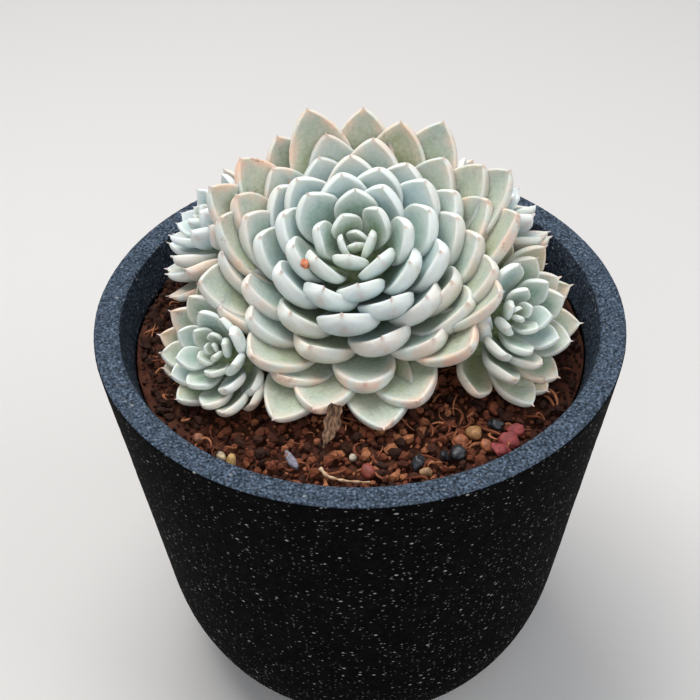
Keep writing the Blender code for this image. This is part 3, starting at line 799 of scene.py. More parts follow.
def plain_leaf(leaf, grow):
    """The frame's leaf, made larger by a clearance, as corners and faces."""
    rib = midrib(leaf, leaf["length"] + grow)

    def place(share, sideways, inward):
        """A point beside the midrib, in the part's frame."""
        x, y = turned(sideways, inward, leaf["roll"])
        return in_part(leaf, along_rib(rib, share) + headings(leaf, share)[1] * y, x)

    corners = []
    for share in leaf["rings"]:
        half = leaf["width"] / 2 * outline(share, leaf["pointed"]) + grow
        deep = leaf["thickness"] * fullness(share) + grow
        back = deep * (DISHED_DEPTH if leaf["dished"] else PLAIN_DEPTH)
        if leaf["dished"]:
            dish = LEAF_DISH * half * 2
            section = [(-1, 0), (0, -dish), (1, 0), (DISHED_BACK, -back), (-DISHED_BACK, -back)]
        else:
            section = [(-1, 0), (1, 0), (PLAIN_BACK, -back), (-PLAIN_BACK, -back)]
        corners += [place(share, x * half, y + grow) for x, y in section]
    sides = len(corners) // len(leaf["rings"])
    corners.append(place(1.0, 0.0, -TIP_SINK * leaf["thickness"]))
    faces = [tuple(reversed(range(sides)))]
    for ring in range(len(leaf["rings"]) - 1):
        for k in range(sides):
            a, b = ring * sides + k, ring * sides + (k + 1) % sides
            faces.append((a, b, b + sides))
            faces.append((a, b + sides, a + sides))
    last = len(corners) - 1 - sides
    for k in range(sides):
        faces.append((last + k, last + (k + 1) % sides, len(corners) - 1))
    return corners, faces


def grown_leaves(head, seed):
    """Every leaf of a rosette, from the bud out, before any is bent clear of its neighbours."""
    draw = np.random.default_rng(seed)
    first, second, axis = head_frame(head)
    size = head["size"]
    leaves = []
    for k in range(head["leaves"]):
        age = k / (head["leaves"] - 1)
        chance = draw.normal(size=6) * head["wobble"]
        turn = head["start"] + GOLDEN_ANGLE * k + math.radians(ANGLE_SWAY) * chance[0]
        out = first * math.cos(turn) + second * math.sin(turn)
        curl = at_age(age, head["curl"])
        lean = at_age(age, head["lean"]) + CURL_LEAN * curl + ANGLE_SWAY * chance[3]
        for direction, spread, extra in head["skirt"]:
            off = (math.atan2(out.y, out.x) - direction + math.pi) % math.tau - math.pi
            bend = extra * math.exp(-(off / spread) ** 2)
            bend *= max(0.0, (age - SKIRT_AGE) / (1 - SKIRT_AGE)) ** 2
            lean += bend
            curl -= SKIRT_FLATTENING * max(0.0, bend)
        seat = Vector(head["bud"]) - axis * at_age(age, head["seat_depth"]) * size
        leaves.append({
            "age": age,
            "seat": seat + out * at_age(age, head["seat_radius"]) * size,
            "out": out,
            "across": axis.cross(out),
            "axis": axis,
            "length": at_age(age, head["length"]) * size * (1 + SIZE_SWAY * chance[1]),
            "width": at_age(age, head["width"]) * size * (1 + SIZE_SWAY * chance[2]),
            "thickness": at_age(age, head["thickness"]) * size,
            "lean": math.radians(lean),
            "curl": math.radians(curl + ANGLE_SWAY * chance[4]),
            "roll": math.radians(ROLL_SWAY * chance[5]),
            "pointed": at_age(age, POINTED) * head["pointed"],
            "dished": head["dished"],
            "rings": head["young_rings"] if age < YOUNG_AGE else head["rings"],
        })
    return leaves


def inside_pot(corners):
    """Whether a leaf stays over the soil, within the wall and within the rim's outline."""
    for corner in corners:
        reach = math.hypot(corner.x, corner.y)
        if reach > PLANT_REACH or corner.z < ground(corner.x, corner.y):
            return False
        if corner.z < POT_HEIGHT + WALL_CLEARANCE and reach > wall_radius(corner.z) - WALL_CLEARANCE:
            return False
    return True


def settle(head, seed, neighbours):
    """Bend or shorten each leaf until it is clear of all round it, and drop one that never is."""
    kept = []
    bends = [math.radians(bend) for bend in BENDS if abs(bend) <= head["most_bend"]]
    trials = [(share, bend) for share in head["shares"] for bend in bends]
    if head["shortens_first"]:
        trials = [(share, bend) for bend in bends for share in head["shares"]]
    for leaf in grown_leaves(head, seed):
        for share, bend in trials:
            trial = dict(leaf, lean=leaf["lean"] + bend, length=leaf["length"] * share,
                         width=leaf["width"] * (1 + share) / 2)
            corners, faces = plain_leaf(trial, LEAF_CLEARANCE)
            if not inside_pot(corners[len(corners) // len(trial["rings"]):]):
                continue
            tree = BVHTree.FromPolygons(corners, faces)
            if not any(tree.overlap(other) for other in neighbours):
                kept.append(trial)
                break
    return kept


def core_profile(head):
    """The core's outline round the leaf seats, from its top to below the oldest leaf."""
    size = head["size"]
    top = -at_age(0, head["seat_depth"]) * size
    low = -at_age(1, head["seat_depth"]) * size
    swell = head["core_swell"] * size
    widest = at_age(1, head["seat_radius"]) * size + swell
    crown = CORE_TOP * size
    points = [(0.0, top + crown), (crown, top + crown * CROWN_SHOULDER)]
    for k in range(1, CORE_RINGS + 1):
        age = (k / CORE_RINGS) ** CORE_SPACING
        filled = min(1.0, CORE_YOUNG_SWELL + age * CORE_SWELL_RATE)
        radius = at_age(age, head["seat_radius"]) * size + swell * filled
        points.append((radius, -at_age(age, head["seat_depth"]) * size - CORE_TOP))
    points += [(widest * radius, low - widest * depth) for radius, depth in CORE_BASE]
    return points


def stem_spot(head):
    """Where a rosette's stem stands: under the lower end of its core."""
    axis = head_frame(head)[2]
    return Vector(head["bud"]) - axis * at_age(1, head["seat_depth"]) * head["size"]


def core_points(head, segments):
    """The core, turned round the rosette's axis, as corners and faces."""
    first, second, axis = head_frame(head)
    profile = core_profile(head)
    corners = [Vector(head["bud"]) + axis * profile[0][1]]
    for radius, height in profile[1:-1]:
        for cos, sin in circle(segments):
            out = first * cos + second * sin
            corners.append(Vector(head["bud"]) + out * radius + axis * height)
    corners.append(Vector(head["bud"]) + axis * profile[-1][1])
    for corner in corners:
        corner.z = max(corner.z, ground(corner.x, corner.y))
    rows = len(profile) - 2
    faces = [(0, 1 + k, 1 + (k + 1) % segments) for k in range(segments)]
    faces += grid_faces(rows, segments, start=1)
    faces += fan(1 + (rows - 1) * segments, segments, len(corners) - 1)
    return corners, faces


def stump_tree(head):
    """A search tree over a rosette's core and stem, as they are in the frame."""
    corners, faces = core_points(head, CORE_SEGMENTS)
    spot = stem_spot(head)
    bottom = SOIL_TOP - STEM_SUNK
    shape = bmesh.new()
    place = Matrix.Translation((spot[0], spot[1], (bottom + spot.z) / 2))
    bmesh.ops.create_cone(shape, cap_ends=True, segments=STEM_SEGMENTS, radius1=head["stem"],
                          radius2=head["stem"], depth=spot.z - bottom, matrix=place)
    shape.verts.ensure_lookup_table()
    stem = [vertex.co.copy() for vertex in shape.verts]
    stem_faces = [tuple(vertex.index for vertex in face.verts) for face in shape.faces]
    shape.free()
    return tree_of([(corners, faces), (stem, stem_faces)])


def tree_of(things):
    """One search tree over the faces of several meshes."""
    corners, faces = [], []
    for mesh_corners, mesh_faces in things:
        faces += shifted(mesh_faces, len(corners))
        corners += mesh_corners
    return BVHTree.FromPolygons(corners, faces)


def mesh_lists(mesh):
    """A mesh as corners and faces."""
    corners = [vertex.co.copy() for vertex in mesh.vertices]
    return corners, [tuple(face.vertices) for face in mesh.polygons]


@functools.cache
def settled_clump():
    """The leaves of all five rosettes by name, bent clear of each other as in the frame."""
    around = [tree_of([mesh_lists(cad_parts[name].data)]) for name in ("pot", "soil")]
    stumps = {head["name"]: stump_tree(head) for head in HEADS}
    leaves_of = {}
    for number, head in enumerate(HEADS):
        others = [tree for name, tree in stumps.items() if name != head["name"]]
        leaves = settle(head, FIRST_SEED + number, others + around)
        leaves_of[head["name"]] = leaves
        around.append(tree_of([plain_leaf(leaf, 0.0) for leaf in leaves]))
    return leaves_of


def leaf_section(half, deep, edge, hollow):
    """Points round a leaf as places across it and inward: its face, round margins and full back."""
    flat = half - edge
    level = -EDGE_LEVEL * edge
    points = []
    for k in range(FACE_STEPS + 1):
        x = -math.cos(math.pi * k / FACE_STEPS)
        points.append((x * flat, -hollow * (1 - x * x), 1.0))
    for angle in MARGIN_ANGLES:
        place = (flat + edge * math.cos(angle), level + edge * math.sin(angle))
        points.append((*place, 0.5 + 0.5 * math.sin(angle)))
    reach = flat + edge * math.cos(MARGIN_ANGLES[-1])
    low = level + edge * math.sin(MARGIN_ANGLES[-1])
    for k in range(1, BACK_STEPS):
        angle = math.pi * k / BACK_STEPS
        depth = (deep + low) * math.sin(angle) ** BACK_BULGE
        points.append((reach * math.cos(angle), low - depth, 0.0))
    for angle in reversed(MARGIN_ANGLES):
        place = (-flat - edge * math.cos(angle), level + edge * math.sin(angle))
        points.append((*place, 0.5 + 0.5 * math.sin(angle)))
    return points


def fine_outline(share, pointed):
    """The plain leaf's outline with fuller shoulders and an obtuse end."""
    if share <= FINE_WIDEST_AT:
        return outline(share * WIDEST_AT / FINE_WIDEST_AT, pointed)
    t = (share - FINE_WIDEST_AT) / (1 - FINE_WIDEST_AT)
    return max(0.0, 1 - t ** FINE_FLARE) ** (FINE_POINT * pointed)


def fine_leaf(leaf, draw, settings):
    """A full leaf: its points, faces and the values that its finish reads."""
    length = leaf["length"]
    size = min(1.0, length / FULL_LENGTH)
    tip = settings.mucro * size / length
    rings = [(share, 1.0) for share in FINE_RINGS]
    rings += [(1.0 + past * tip, shrink) for past, shrink in POINT_RINGS]
    rib = midrib(leaf, length)
    sway, twist, wave, phase, dent = draw.normal(size=5)
    sway *= BLADE_SWAY * length
    twist *= BLADE_TWIST
    hollow_share = settings.dish * (YOUNG_HOLLOW + AGED_HOLLOW * leaf["age"] ** HOLLOW_GROWTH)
    notch = NOTCH_DEPTH * max(0.0, dent - NOTCH_CHANCE) * size
    tip_radius = settings.tip_radius * size
    points, side, along, inner, edge_mm = [], [], [], [], []
    for share, shrink in rings:
        held = min(share, 1.0)
        at_tip = max(0.0, held - (1 - TIP_PART)) / TIP_PART
        ahead, inward = headings(leaf, held)
        middle = along_rib(rib, held) + ahead * (share - held) * length
        half = max(leaf["width"] / 2 * fine_outline(held, leaf["pointed"]), tip_radius)
        deep = max(leaf["thickness"] * fullness(held), TIP_DEPTH * tip_radius)
        edge = min(settings.rounding * size, MOST_EDGE[0] * half, MOST_EDGE[1] * deep)
        hollow = hollow_share * half * 2 * min(1.0, held * HOLLOW_REACH)
        drop = -TIP_SINK * leaf["thickness"] * at_tip
        for x, y, faces_in in leaf_section(half, deep, edge, hollow):
            x_share = x / half
            ripple = RIPPLE_HEIGHT * size * wave * math.sin(RIPPLE_RATE * held + phase) * x_share
            x, y = turned(x * shrink + sway * held ** 2, y * shrink + drop + ripple,
                          leaf["roll"] + twist * held)
            pull = notch * math.exp(-(x_share / NOTCH_WIDTH) ** 2) * at_tip
            points.append(in_part(leaf, middle + inward * y - ahead * pull, x))
            side.append(x_share)
            along.append(held)
            inner.append(faces_in)
            to_end = (1 - held) * length * TIP_NEARNESS
            edge_mm.append(1000 * min(half * (1 - abs(x_share)), to_end))
    columns = len(points) // len(rings)
    ahead, inward = headings(leaf, 1.0)
    end = rib[-1] + ahead * tip * length + inward * (-TIP_SINK * leaf["thickness"])
    points.append(in_part(leaf, end, sway))
    for values, value in ((side, 0.0), (along, 1.0), (inner, 0.5), (edge_mm, 0.0)):
        values.append(value)
    faces = [tuple(reversed(face)) for face in grid_faces(len(rings), columns)]
    faces.append(tuple(range(columns)))
    faces += fan((len(rings) - 1) * columns, columns, len(points) - 1)
    return points, faces, {"side": side, "along": along, "inner": inner, "edge_mm": edge_mm}


def make_rosette(head, finish, seed):
    """One rosette of fine leaves on its core."""
    settings = bpy.context.scene.snowball_leaf
    draw = np.random.default_rng(seed)
    points, faces = [], []
    values = {key: [] for key in ("side", "along", "inner", "edge_mm", "age", "tone", "blush")}
    for leaf in settled_clump()[head["name"]]:
        leaf_points, leaf_faces, leaf_values = fine_leaf(leaf, draw, settings)
        tone, chance = draw.random(2)
        aged = min(1.0, max(0.0, leaf["age"] - BLUSH_AGE) * BLUSH_RATE)
        blush = aged * (LEAST_BLUSH + (1 - LEAST_BLUSH) * chance)
        for key, number in (("age", leaf["age"]), ("tone", tone), ("blush", blush)):
            leaf_values[key] = [number] * len(leaf_points)
        faces += shifted(leaf_faces, len(points))
        points += leaf_points
        for key, numbers in leaf_values.items():
            values[key] += numbers
    core, core_faces = core_points(head, FINE_CORE_SEGMENTS)
    faces += shifted(core_faces, len(points))
    points += core
    for key in values:
        values[key] += [CORE_VALUES.get(key, 0.0)] * len(core)
    return add_piece(head["name"] + "_leaves", points, faces, finish, values)


def leaf_finish(name, tint, green):
    """The waxy leaf: pale towards its tip, green towards its base, with a pale edge and a blush."""
    settings = bpy.context.scene.snowball_leaf

    def tinted(colour):
        """A leaf colour turned towards this rosette's own hue."""
        return tuple(part * factor for part, factor in zip(colour, tint))

    finish = Finish(name, roughness=0.56, Subsurface_Weight=0.40, Subsurface_Radius=(1.0, 0.85, 0.5),
                    Subsurface_Scale=0.0026, Specular_IOR_Level=0.32, Sheen_Weight=0.10,
                    Sheen_Roughness=0.5)
    along, inner, edge, side, tone, blush, age = [
        finish.attribute(key) for key in ("along", "inner", "edge_mm", "side", "tone", "blush", "age")]
    cloud = finish.noise(0.006, 4.0)
    fine_cloud = finish.noise(0.0022, 3.0)
    reach = finish.math("ADD", along, finish.step(cloud, 0.25, 0.75, -0.10, 0.10))
    deep, low = tinted(settings.deep), tinted(settings.low)
    face = finish.mix(finish.step(reach, 0.20, 0.62), deep, tinted(settings.face))
    face = finish.mix(finish.step(reach, 0.62, 1.02), face, tinted(settings.face_tip))
    back = finish.mix(finish.step(reach, 0.25, 0.60), low, tinted(settings.middle))
    back = finish.mix(finish.step(reach, 0.60, 1.0), back, tinted(settings.bloom))
    greener = finish.product(finish.step(cloud, 0.48, 0.75), green)
    bluer = finish.product(finish.step(tone, 0.45, 0.0), 0.45)
    olive = finish.product(finish.step(tone, 0.86, 1.0), 0.55)
    aged = finish.product(finish.step(age, 0.35, 0.85), finish.step(reach, 0.35, 1.0, 0.95, 0.42))
    bud = finish.product(finish.step(age, 0.02, 0.22, 0.90, 0.0),
                         finish.step(reach, 0.55, 1.0, 1.0, 0.35))
    wide_edge = finish.product(finish.step(edge, 0.3, 4.6, 1.0, 0.0),
                               finish.step(age, 0.45, 0.90, 0.50, 0.22))
    pale_edge = finish.product(finish.step(edge, 0.10, 1.3, 1.0, 0.0), 0.45)
    warm = finish.product(finish.step(along, 0.12, 0.85), blush, finish.step(cloud, 0.32, 0.62),
                          finish.step(edge, 0.3, 4.2, 1.0, 0.15))
    off_middle = finish.math("ABSOLUTE", side)
    spot = finish.product(finish.step(along, 0.74, 0.86), finish.step(along, 0.90, 0.985, 1.0, 0.0),
                          finish.step(off_middle, 0.04, 0.50, 1.0, 0.0),
                          finish.step(fine_cloud, 0.25, 0.60, 0.15, 0.42),
                          finish.step(inner, 0.2, 0.7, 1.0, 0.0))
    scar = finish.product(finish.step(finish.noise(0.0034, 2.0), 0.66, 0.72), blush, 0.55)
    point = finish.step(along, 0.982, 1.0, 0.0, 0.50)
    rubbed = finish.step(finish.noise(0.0010, 3.0), 0.30, 0.72, 0.0, 0.20)
    body = finish.mix(inner, back, face)
    for share, colour in ((greener, low), (bluer, settings.blue), (olive, settings.olive),
                          (aged, settings.olive), (bud, deep), (wide_edge, settings.margin),
                          (pale_edge, settings.margin), (warm, settings.blush), (spot, settings.spot),
                          (scar, SCAR_COLOUR), (point, POINT_COLOUR), (rubbed, RUBBED_COLOUR)):
        body = finish.mix(share, body, colour)
    finish.colour(body)
    finish.bump(fine_cloud, 0.00010)
    return finish


def make_stems():
    """The corky stems, with rings of leaf scars, between the soil and the rosettes' cores."""
    rows, columns = STEM_GRID
    points, faces = [], []
    for number, head in enumerate(HEADS):
        spot = stem_spot(head)
        bottom = SOIL_TOP - STEM_SUNK * STEM_SHOWN
        faces += closed_tube(rows, columns, len(points))
        for row in range(rows):
            share = row / (rows - 1)
            height = bottom + (spot.z - bottom) * share
            scar = STEM_SCARS[0] * math.sin(share * STEM_SCARS[1] + number)
            for cos, sin in circle(columns):
                out = Vector((cos, sin, 0.0))
                place = Vector((out.x * 1.5, out.y * 1.5, share * 5 + number * 7))
                radius = head["stem"] * (STEM_GIRTH + scar + STEM_LUMPS * noise.noise(place))
                points.append((spot.x + out.x * radius, spot.y + out.y * radius, height))
    finish = mottled("corky stem", 0.003, 4.0, (0.3, 0.7), (0.10, 0.055, 0.032), (0.30, 0.22, 0.14),
                     0.0006, stretch=(1.0, 1.0, 3.5), roughness=0.9)
    return add_piece("stems", points, faces, finish)


def stoneware_finish():
    """Dark speckled stoneware with a ground rim."""
    settings = bpy.context.scene.snowball_planter
    clay, rim = settings.body, settings.rim
    finish = Finish("speckled stoneware", roughness=0.85, Specular_IOR_Level=0.03)
    top = finish.attribute("rim_top")
    cloud = finish.noise(0.0035, 5.0)
    grain = finish.noise(0.00075, 2.0)
    body = finish.mix(finish.step(cloud, 0.35, 0.75), clay, scaled(clay, 3.0))
    body = finish.mix(finish.step(grain, 0.58, 0.78, 0.0, 0.30), body, scaled(clay, 12.0))
    ground_rim = finish.mix(finish.step(cloud, 0.25, 0.75), scaled(rim, 0.62), scaled(rim, 1.25))
    ground_rim = finish.mix(finish.step(grain, 0.50, 0.34, 0.0, 0.90), ground_rim, scaled(rim, 0.25))
    ground_rim = finish.mix(finish.step(grain, 0.54, 0.68, 0.0, 0.85), ground_rim, scaled(rim, 2.4))
    body = finish.mix(top, body, ground_rim)
    on_rim = finish.step(top, 0.0, 1.0, 1.0, 0.45)
    for size, reach, chosen, strength in FLECKS:
        distance = finish.cells(size, stretch=FLECK_STRETCH)
        pick = finish.channel(finish.cells(size, "Color", stretch=FLECK_STRETCH), 0)
        fleck = finish.product(finish.step(distance, reach, reach * 2.0, 1.0, 0.0), on_rim,
                               finish.step(pick, chosen, chosen + 0.08, 0.0, strength))
        body = finish.mix(fleck, body, settings.fleck)
    pit = finish.product(finish.step(finish.cells(0.0013), 0.10, 0.42, 1.0, 0.0), top,
                         finish.step(finish.noise(0.0028, 2.0), 0.45, 0.6))
    finish.colour(finish.mix(finish.product(pit, 0.8), body, PIT_COLOUR))
    finish.bump(finish.math("SUBTRACT", finish.noise(0.0007, 3.0), pit), 0.00022)
    return finish


def spaced(start, end, step):
    """Points along a straight stretch of the planter's outline, without its last one."""
    count = max(1, round(math.dist(start, end) / step))
    return [(start[0] + (end[0] - start[0]) * k / count, start[1] + (end[1] - start[1]) * k / count)
            for k in range(count)]


def planter_profile():
    """The planter's outline from the middle of its inner floor over the rim to its underside."""
    heights = np.linspace(INNER_FLOOR, SOIL_TOP - 2 * WALL_SHOWN, WALL_RINGS)
    inner = [(HUB, INNER_FLOOR), (FLOOR_FLAT, INNER_FLOOR)]
    inner += [(wall_radius(height), height) for height in heights]
    rim_edge = POT_HEIGHT - RIM_ROUNDING
    inner += spaced((wall_radius(SOIL_TOP - WALL_SHOWN), SOIL_TOP - WALL_SHOWN),
                    (RIM_INNER_RADIUS, rim_edge), WALL_SPACING)
    rim = arc((RIM_INNER_RADIUS + RIM_ROUNDING, rim_edge), RIM_ROUNDING, 180, 90, ROUNDING_STEPS)
    flat = spaced(rim[-1], (RIM_RADIUS - RIM_ROUNDING, POT_HEIGHT), FLAT_SPACING)
    outer = arc((RIM_RADIUS - RIM_ROUNDING, rim_edge), RIM_ROUNDING, 90, 0, ROUNDING_STEPS)
    taper_end = (RIM_RADIUS - WALL_TAPER * TAPER_DEPTH, POT_HEIGHT - TAPER_DEPTH)
    side = spaced(outer[-1], taper_end, SIDE_SPACING)
    foot = [taper_end] + foot_curve(FOOT_STEPS)
    ring_inner = FOOT_RADIUS - FOOT_RING_WIDTH
    under = [(ring_inner, 0.0), (ring_inner - FOOT_RECESS, FOOT_RECESS), (HUB, FOOT_RECESS)]
    return inner + rim[:-1] + flat + outer[:-1] + side + foot + under


def make_planter():
    """The turned planter with the slight unevenness of cast stoneware."""
    segments = bpy.context.scene.snowball_planter.segments
    profile = planter_profile()
    points, on_top = [], []
    for radius, height in profile:
        flat = height > POT_HEIGHT - RIM_EVENNESS
        upper = height > SOIL_TOP - WALL_SHOWN
        outer = radius > wall_radius(height) + OUTSIDE and height > ABOVE_FOOT
        within = upper and radius < RIM_INNER_RADIUS + DUST_REACH
        on_top += [1.0 if flat else DUSTY_WALL if within else 0.0] * segments
        for cos, sin in circle(segments):
            x, y = radius * cos, radius * sin
            grit = 0.0
            if upper or outer:
                fine = lumps_at(x, y, height, FINE_GRIT[0])
                grit = BROAD_GRIT[1] * lumps_at(x, y, height, BROAD_GRIT[0]) + FINE_GRIT[1] * fine
                if flat:
                    pit = max(0.0, relief(x, y, RIM_PITS[0], RIM_PITS[1]) - PIT_START)
                    grit += -RIM_PITS[2] * pit + RIM_GRIT * fine
            if flat:
                points.append((x, y, height + (grit - RIM_DROP)))
            else:
                swell = 1.0 + grit / max(radius, 0.01)
                points.append((x * swell, y * swell, height))
    faces = closed_tube(len(profile), segments, inside_out=True)
    return add_piece("planter", points, faces, stoneware_finish(), {"rim_top": on_top})


def soil_finish(name, per_granule):
    """Reddish brown crumbs of mixed tone."""
    settings = bpy.context.scene.snowball_soil
    finish = Finish(name, roughness=0.9, Specular_IOR_Level=0.25)
    tint = finish.attribute("tint") if per_granule else finish.noise(0.0022, 4.0)
    low = finish.mix(finish.step(tint, 0.05, 0.50), settings.dark, settings.brown)
    body = finish.mix(finish.step(tint, 0.62, 1.0), low, settings.light)
    if not per_granule:
        body = finish.mix(BED_SHADE, body, settings.dark)
    mottle = finish.noise(0.0008, 4.0)
    body = finish.mix(finish.step(mottle, 0.35, 0.65, 0.45, 0.0), body, (0.03, 0.012, 0.007))
    finish.colour(body)
    finish.bump(mottle, 0.0003)
    return finish


def make_soil_bed():
    """The fill under the granules, with crumbs as relief."""
    points = []
    for share in np.linspace(*BED_SPAN, BED_RINGS):
        radius = SOIL_RADIUS * share
        for cos, sin in circle(BED_COLUMNS):
            x, y = radius * cos, radius * sin
            points.append((x, y, crumbs(x, y)))
    bottom = INNER_FLOOR + BED_FLOOR_GAP
    for height in np.linspace(SOIL_TOP - BED_EDGE_DEPTH, bottom, BED_SIDE_RINGS):
        radius = wall_radius(height) - BED_GAP
        points += [(radius * cos, radius * sin, height) for cos, sin in circle(BED_COLUMNS)]
    faces = closed_tube(BED_RINGS + BED_SIDE_RINGS, BED_COLUMNS, inside_out=True)
    return add_piece("soil_bed", points, faces, soil_finish("soil crumbs", False))


@functools.cache
def ball(subdivisions):
    """Corners and faces of a round ball of even triangles."""
    shape = bmesh.new()
    bmesh.ops.create_icosphere(shape, subdivisions=subdivisions, radius=1.0)
    shape.verts.ensure_lookup_table()
    points = np.array([vertex.co for vertex in shape.verts])
    faces = [tuple(vertex.index for vertex in face.verts) for face in shape.faces]
    shape.free()
    return points, faces


def stone_points(draw, place, radius, shape, subdivisions):
    """A stone's corners: a ball squeezed along its own axes and chipped."""
    rough, flatness = shape
    points, faces = ball(subdivisions)
    middle = MIDDLE_AXIS[0] + MIDDLE_AXIS[1] * draw.random()
    scales = np.array((1.0, middle, flatness * (SHORT_AXIS[0] + SHORT_AXIS[1] * draw.random())))
    turn = np.linalg.qr(draw.normal(size=(3, 3)))[0]
    shift = draw.random(3) * 40
    chips, fine = (np.array([noise.noise(Vector(point * rate + shift)) for point in points])
                   for rate in CHIP_RATES)
    shaped = points * (1 + rough * chips[:, None] + FINE_CHIPS * rough * fine[:, None])
    if flatness <= LYING_FLATNESS:
        turn = np.linalg.qr(np.eye(3) + LYING_TILT * draw.normal(size=(3, 3)))[0]
    return (shaped * scales * radius) @ turn.T + np.asarray(place), faces


def make_granules():
    """Loose granules all over the soil, each with its own tone."""
    settings = bpy.context.scene.snowball_soil
    draw = np.random.default_rng(SEEDS["granules"])
    stems = [(stem_spot(head), head["stem"]) for head in HEADS]
    points, faces, tint = [], [], []
    step = settings.spacing
    count = int(2 * SOIL_RADIUS / step)
    offset = 0
    for row in range(count):
        for column in range(count):
            jitter = draw.random(2) * GRANULE_JITTER
            x = -SOIL_RADIUS + (column + 0.5 * (row % 2) + jitter[0]) * step
            y = -SOIL_RADIUS + (row + jitter[1]) * step
            chance = draw.random(3)
            larger = (settings.largest - settings.smallest) * chance[0] ** GRANULE_BIAS
            radius = settings.smallest + larger
            if math.hypot(x, y) > SOIL_RADIUS - GRANULE_GAP - radius:
                continue
            near = radius * STEM_GAP
            if any(math.hypot(x - spot.x, y - spot.y) < stem + near for spot, stem in stems):
                continue
            height = mound(x, y) + radius * (GRANULE_RISE[0] + GRANULE_RISE[1] * chance[1])
            stone, stone_faces = stone_points(draw, (x, y, height), radius, GRANULE_SHAPE, 1)
            points.append(stone)
            faces += shifted(stone_faces, offset)
            # Painted shade: each granule's tone is darkened towards the left and the right walls
            shade = 1.0 - SIDE_SHADE * min(1.0, abs(x) / SIDE_SHADE_FROM) ** 3
            tint.append(np.full(len(stone), chance[2] * shade))
            offset += len(stone)
    finish = soil_finish("soil granules", True)
    return add_piece("soil_granules", np.vstack(points), faces, finish,
                     {"tint": np.concatenate(tint)}, smooth=False)


def pebble_finish(name, colour, roughness):
    """A plain stone, mottled in its own colour."""
    finish = Finish(name, roughness=roughness)
    mottle = finish.noise(0.0012, 4.0)
    finish.colour(finish.mix(finish.step(mottle, 0.35, 0.7), scaled(colour, 0.55), colour))
    finish.bump(finish.noise(0.0005, 3.0), 0.0001)
    return finish


def make_stone(name, spot, radius, finish, draw, shape):
    """One stone, half sunk among the granules."""
    x, y = spot
    place = (x, y, mound(x, y) + radius * STONE_RISE)
    points, faces = stone_points(draw, place, radius, shape, 3)
    return add_piece(name, points, faces, finish)


def tube(path, radii, columns):
    """Points and faces of a tube along a path of points, closed at both ends."""
    path = [Vector(point) for point in path]
    points = []
    for k, here in enumerate(path):
        ahead = (path[min(k + 1, len(path) - 1)] - path[max(k - 1, 0)]).normalized()
        first = ahead.cross(Vector((0.0, 0.0, 1.0)))
        first = first.normalized() if first.length > 0.01 else Vector((1.0, 0.0, 0.0))
        second = ahead.cross(first)
        points += [here + (first * cos + second * sin) * radii[k] for cos, sin in circle(columns)]
    return points, closed_tube(len(path), columns)


def smooth_path(marks, count):
    """Points on a smooth curve through a few marks."""
    marks = [Vector(mark) for mark in marks]
    ends = [marks[0] * 2 - marks[1]] + marks + [marks[-1] * 2 - marks[-2]]
    path = []
    for k in range(count):
        place = k / (count - 1) * (len(marks) - 1)
        span = min(int(place), len(marks) - 2)
        t = place - span
        a, b, c, d = ends[span:span + 4]
        path.append(0.5 * (2 * b + (c - a) * t + (2 * a - 5 * b + 4 * c - d) * t * t
                           + (3 * b - a - 3 * c + d) * t ** 3))
    return path


def make_root():
    """The pale curled dry root that lies at the front."""
    marks = [(x, y, mound(x, y) + lift) for (x, y), lift in zip(ROOT_POINTS, ROOT_LIFTS)]
    path = smooth_path(marks, ROOT_STEPS)
    radii = [ROOT_RADIUS * (1 - 0.55 * k / (ROOT_STEPS - 1)) + 0.00012 * math.sin(k * 1.3)
             for k in range(ROOT_STEPS)]
    points, faces = tube(path, radii, 10)
    finish = mottled("dry root", 0.001, 3.0, (0.3, 0.7), (0.32, 0.17, 0.09), (0.62, 0.44, 0.29),
                     0.0002, roughness=0.85)
    return add_piece("dry_root", points, faces, finish)


def make_fibres():
    """Short curled fibres and bark slivers among the granules."""
    draw = np.random.default_rng(SEEDS["fibres"])
    points, faces, tint = [], [], []
    middle = FIBRE_STEPS / 2
    for _ in range(FIBRES):
        turn, reach = draw.random() * math.tau, SOIL_RADIUS * (0.35 + 0.58 * draw.random() ** 0.6)
        x, y = reach * math.cos(turn), reach * math.sin(turn)
        heading = draw.random() * math.tau
        length = FIBRE_LENGTH[0] + FIBRE_LENGTH[1] * draw.random()
        bend = draw.normal() * 1.2
        path = []
        for k in range(FIBRE_STEPS + 1):
            t = k / FIBRE_STEPS - 0.5
            angle = heading + bend * t
            px, py = x + length * t * math.cos(angle), y + length * t * math.sin(angle)
            lift = FIBRE_LIFT[0] + FIBRE_LIFT[1] * math.sin(t * 5 + draw.random() * 0.3)
            path.append((px, py, mound(px, py) + lift))
        thick = FIBRE_THICKNESS[0] + FIBRE_THICKNESS[1] * draw.random()
        radii = [thick * (1 - (abs(k - middle) / (middle + 0.6)) ** 2) for k in range(FIBRE_STEPS + 1)]
        fibre, fibre_faces = tube(path, radii, 6)
        faces += shifted(fibre_faces, len(points))
        points += fibre
        tint += [0.55 + 0.45 * draw.random()] * len(fibre)
    return add_piece("soil_fibres", points, faces, soil_finish("fibres", True), {"tint": tint})


